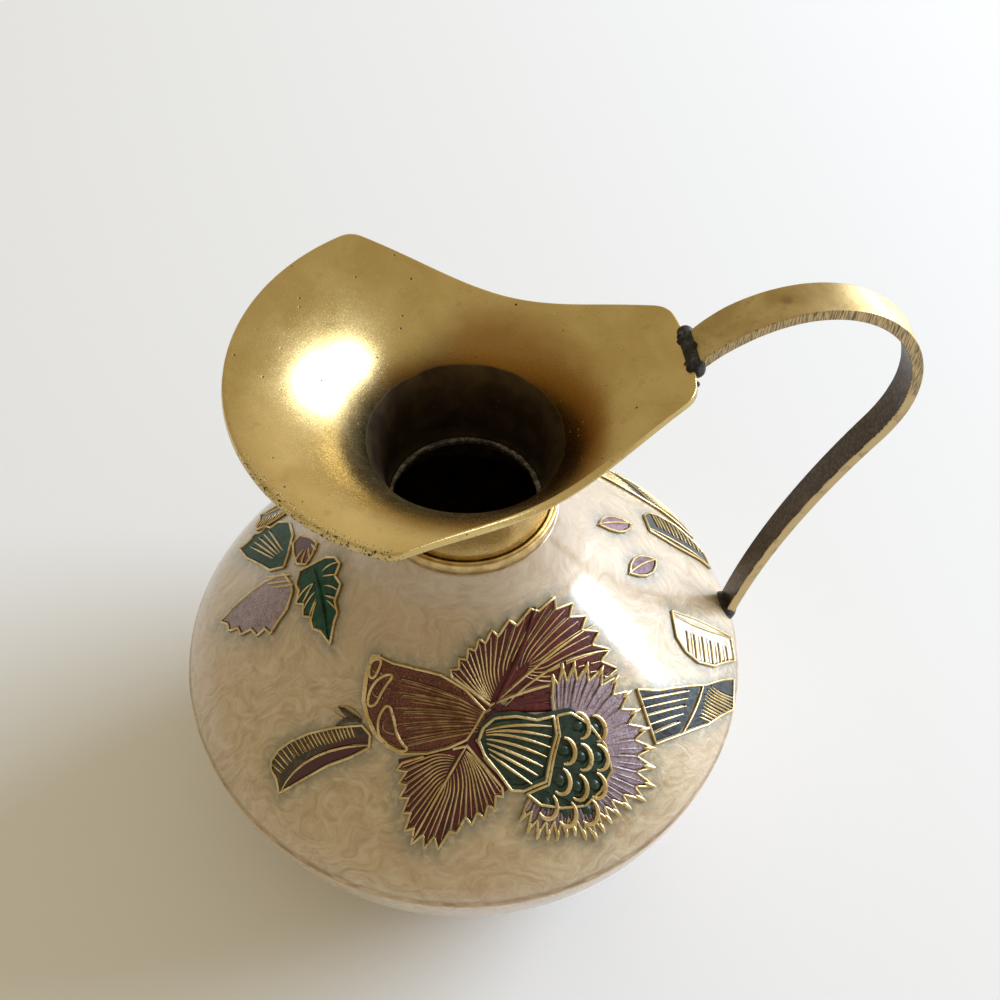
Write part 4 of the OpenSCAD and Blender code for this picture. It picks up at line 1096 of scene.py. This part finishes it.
lay_on_both("leaflets", veins(leaflets, radius=0.55 * MM), [petal, ribbed_leaf],
            material=olive, slot="olive_enamel")
lay_on_both("leaflet_brass", veins(leaflet_edges, radius=0.16 * MM), [petal, ribbed_leaf])


# Sprig by the spout: a toothed green leaf with a soft green midrib, a green fan, a lilac leaf and a
# small maroon flower, each in its own brass cell. It stands alone, half under the lip.

sprig_fan = (
    (-0.605, 0.12), (-0.665, 0.16), (-0.7, 0.225), (-0.755, 0.325), (-0.785, 0.42), (-0.735, 0.43),
    (-0.72, 0.455), (-0.69, 0.435), (-0.67, 0.455), (-0.65, 0.42), (-0.62, 0.425), (-0.575, 0.365),
    (-0.565, 0.265), (-0.585, 0.175))
sprig_long = (
    (-0.555, 0.065), (-0.575, 0.01), (-0.565, -0.02), (-0.58, -0.06), (-0.555, -0.08), (-0.56, -0.12),
    (-0.535, -0.14), (-0.53, -0.18), (-0.505, -0.205), (-0.475, -0.265), (-0.45, -0.2), (-0.435, -0.18),
    (-0.44, -0.14), (-0.415, -0.1), (-0.43, -0.06), (-0.41, -0.03), (-0.425, 0.01), (-0.46, 0.04))
sprig_lilac = (
    (-0.58, 0.025), (-0.605, 0.1), (-0.68, 0.13), (-0.755, 0.13), (-0.805, 0.12), (-0.865, 0.095),
    (-0.835, 0.06), (-0.83, 0.025), (-0.795, 0.01), (-0.785, -0.025), (-0.745, -0.035), (-0.725, -0.075),
    (-0.695, -0.07), (-0.675, -0.105), (-0.645, -0.08), (-0.605, -0.055), (-0.58, -0.005))
sprig_flower = (
    (-0.575, 0.215), (-0.54, 0.235), (-0.5, 0.175), (-0.48, 0.125), (-0.5, 0.085), (-0.53, 0.06),
    (-0.565, 0.095), (-0.575, 0.155))
sprig_fan_ribs = [
    ((-0.65, 0.215), (-0.735, 0.38)), ((-0.63, 0.215), (-0.7, 0.4)), ((-0.61, 0.215), (-0.66, 0.4))]
sprig_long_ribs = [
    ((-0.51, -0.03), (-0.56, -0.08)), ((-0.505, -0.09), (-0.54, -0.14)), ((-0.475, -0.03), (-0.425, -0.06)),
    ((-0.475, -0.1), (-0.435, -0.14))]
sprig_long_midrib = ((-0.505, 0.03), (-0.485, -0.09), (-0.482, -0.235))
sprig_long_veins = (
    ((-0.51, -0.03), (-0.545, -0.02), (-0.575, -0.055)), ((-0.508, -0.065), (-0.53, -0.07), (-0.555, -0.1)),
    ((-0.504, -0.1), (-0.52, -0.12), (-0.53, -0.155)), ((-0.476, -0.065), (-0.45, -0.08), (-0.43, -0.115)),
    ((-0.471, -0.12), (-0.455, -0.14), (-0.44, -0.175)), ((-0.476, -0.01), (-0.45, 0), (-0.42, -0.02)))
sprig_lilac_veins = (
    ((-0.585, 0.07), (-0.63, 0.105), (-0.675, 0.14)), ((-0.585, 0.045), (-0.625, 0.07), (-0.67, 0.105)),
    ((-0.575, 0.02), (-0.62, 0.045), (-0.66, 0.08)))
sprig_flower_veins = (
    ((-0.53, 0.14), (-0.56, 0.13), (-0.57, 0.1)), ((-0.525, 0.13), (-0.54, 0.1), (-0.545, 0.075)),
    ((-0.515, 0.13), (-0.515, 0.1), (-0.515, 0.075)), ((-0.505, 0.14), (-0.495, 0.11), (-0.49, 0.095)))

leaf_green = enamel("leaf_green_enamel", (0.003, 0.03, 0.017), (0.012, 0.085, 0.045), coat=0.08, rough=0.55)
for node, material in (("sprig_fan_enamel", leaf_green), ("sprig_long_enamel", leaf_green),
                       ("sprig_lilac_enamel", lilac), ("sprig_flower_enamel", maroon)):
    dress(node, material)
lay_lines("sprig_brass", [
    rim(sprig_fan), rim(sprig_long), rim(sprig_lilac), rim(sprig_flower),
    *veins(doubled(sprig_fan_ribs), radius=0.24 * MM, within=sprig_fan),
    *veins(sprig_long_ribs, radius=0.25 * MM, within=sprig_long),
    *veins(sprig_long_veins, radius=0.2 * MM, within=sprig_long),
    *veins(sprig_lilac_veins + sprig_flower_veins, radius=0.3 * MM)], node="sprig_lines")
lay_lines("sprig_leaf_rib", veins([sprig_long_midrib], radius=0.5 * MM),
          material=leaf_green, slot="leaf_green_enamel")


# Buds by the handle: two small plum-coloured buds, pointed at both ends, each a brass rim with one
# bowed line inside it.

buds = (((0.455, 0.04), (0.62, 0.155)), ((0.54, -0.11), (0.685, 0.025)))
bud_half = 0.037
bud_bow = 0.015


def bud_outline(tips):
    """A bud's two bulging sides, from tip to tip and back."""
    p, q = Vector(tips[0]), Vector(tips[1])
    across = Vector((-(q - p).y, (q - p).x)).normalized() * bud_half
    shares = [i / 5 for i in range(6)]
    return [tuple(p + (q - p) * t + across * 4 * t * (1 - t)) for t in shares[:-1]] \
        + [tuple(p + (q - p) * t - across * 4 * t * (1 - t)) for t in shares[:0:-1]]


bud_lines = [(a, ((a[0] + b[0]) / 2, (a[1] + b[1]) / 2 + bud_bow), b) for a, b in buds]
dress("bud_enamel", enamel("plum_enamel", (0.10, 0.03, 0.05), (0.30, 0.17, 0.21)))
lay_lines("bud_brass", [rim(bud_outline(tips)) for tips in buds] + veins(bud_lines, radius=0.3 * MM),
          node="bud_lines")


# Stained ground: polish and tarnish stayed in the corners round every motif, and fade out over about
# two millimetres. The shoulder's enamel carries this as the attribute that its material reads.

stain_fade = 1.9 * MM


def stain_ground():
    """Marks how near each point of the shoulder's enamel lies to the foot of a rim."""
    spots = []
    for outline in (upper_leaf, lower_leaf, fan, petal, scales, ribbed_leaf, striped_leaf, curled_leaf):
        for x, y in divided(outline + outline[:1], 0.02):
            spots += [(x, y), (x, -y)]
    for outline in (sprig_fan, sprig_long, sprig_lilac, bud_outline(buds[0]), bud_outline(buds[1])):
        spots += divided(outline + outline[:1], 0.02)
    tree = KDTree(len(spots))
    for i, (x, y) in enumerate(spots):
        tree.insert(on_body(x * crease_r, y * crease_r), i)
    tree.balance()
    mesh = shoulder_enamel.data
    worn = mesh.attributes.new("tarnish", "FLOAT", "POINT")
    for vert in mesh.vertices:
        far = tree.find(vert.co)[2]
        worn.data[vert.index].value = math.exp(-(far / stain_fade) ** 1.3)


stain_ground()


# Stage: a plain white table under soft studio light, with the camera where the photograph was
# taken, above the spout's near side.

table_half = 3.0
lamp_aim = Vector((0, 0, 0.07))

shape = bmesh.new()
bmesh.ops.create_grid(shape, x_segments=1, y_segments=1, size=table_half)
mesh = bpy.data.meshes.new("table")
shape.to_mesh(mesh)
shape.free()
table = bpy.data.objects.new("table", mesh)
bpy.context.scene.collection.objects.link(table)
white = {"Base Color": (0.83, 0.83, 0.83), "Roughness": 0.75}
table.data.materials.append(finish("white_table", lambda: white))


def soft_box(name, where, size, watts, colour):
    lamp = bpy.data.lights.new(name, "AREA")
    lamp.shape = "RECTANGLE"
    lamp.size, lamp.size_y = size
    lamp.energy = watts
    lamp.color = colour
    holder = bpy.data.objects.new(name, lamp)
    holder.location = where
    holder.rotation_euler = (lamp_aim - Vector(where)).to_track_quat("-Z", "Y").to_euler()
    bpy.context.scene.collection.objects.link(holder)


soft_box("window", where=(2.00, 0.52, 0.74), size=(1.75, 0.85), watts=98.0, colour=(0.70, 0.81, 1.0))
soft_box("fill", where=(0.68, 1.88, 0.80), size=(1.6, 1.2), watts=1.7, colour=(1.0, 0.95, 0.85))

world = bpy.data.worlds.new("studio")
world.use_nodes = True
bpy.context.scene.world = world
sky = world.node_tree.nodes["Background"].inputs
sky["Color"].default_value = (0.53, 0.46, 0.32, 1)
sky["Strength"].default_value = 1.0

focal_px = 1430
frame_px = 1000
camera_pitch = math.radians(52.39)
camera_roll = math.radians(2.04)
camera_turn = math.radians(-10.45)
camera_off = Vector((6.8, -172.6, 277.6)) * MM
turn = Matrix.Rotation(camera_turn, 3, "Z")
right = Vector((1, 0, 0))
ahead = Vector((0, math.cos(camera_pitch), -math.sin(camera_pitch)))
above = Vector((0, math.sin(camera_pitch), math.cos(camera_pitch)))
axes = Matrix((turn @ (right * math.cos(camera_roll) + above * math.sin(camera_roll)),
               turn @ (above * math.cos(camera_roll) - right * math.sin(camera_roll)),
               turn @ -ahead)).transposed()
camera = bpy.data.objects.new("camera", bpy.data.cameras.new("camera"))
camera.data.sensor_width = 36
camera.data.lens = focal_px / frame_px * camera.data.sensor_width
camera.data.clip_start = 0.01
camera.matrix_world = Matrix.Translation(turn @ camera_off + Vector((0, 0, crease_z))) @ axes.to_4x4()
bpy.context.scene.collection.objects.link(camera)
bpy.context.scene.camera = camera
bpy.context.scene.view_settings.view_transform = "Standard"

bpy.context.view_layer.update()
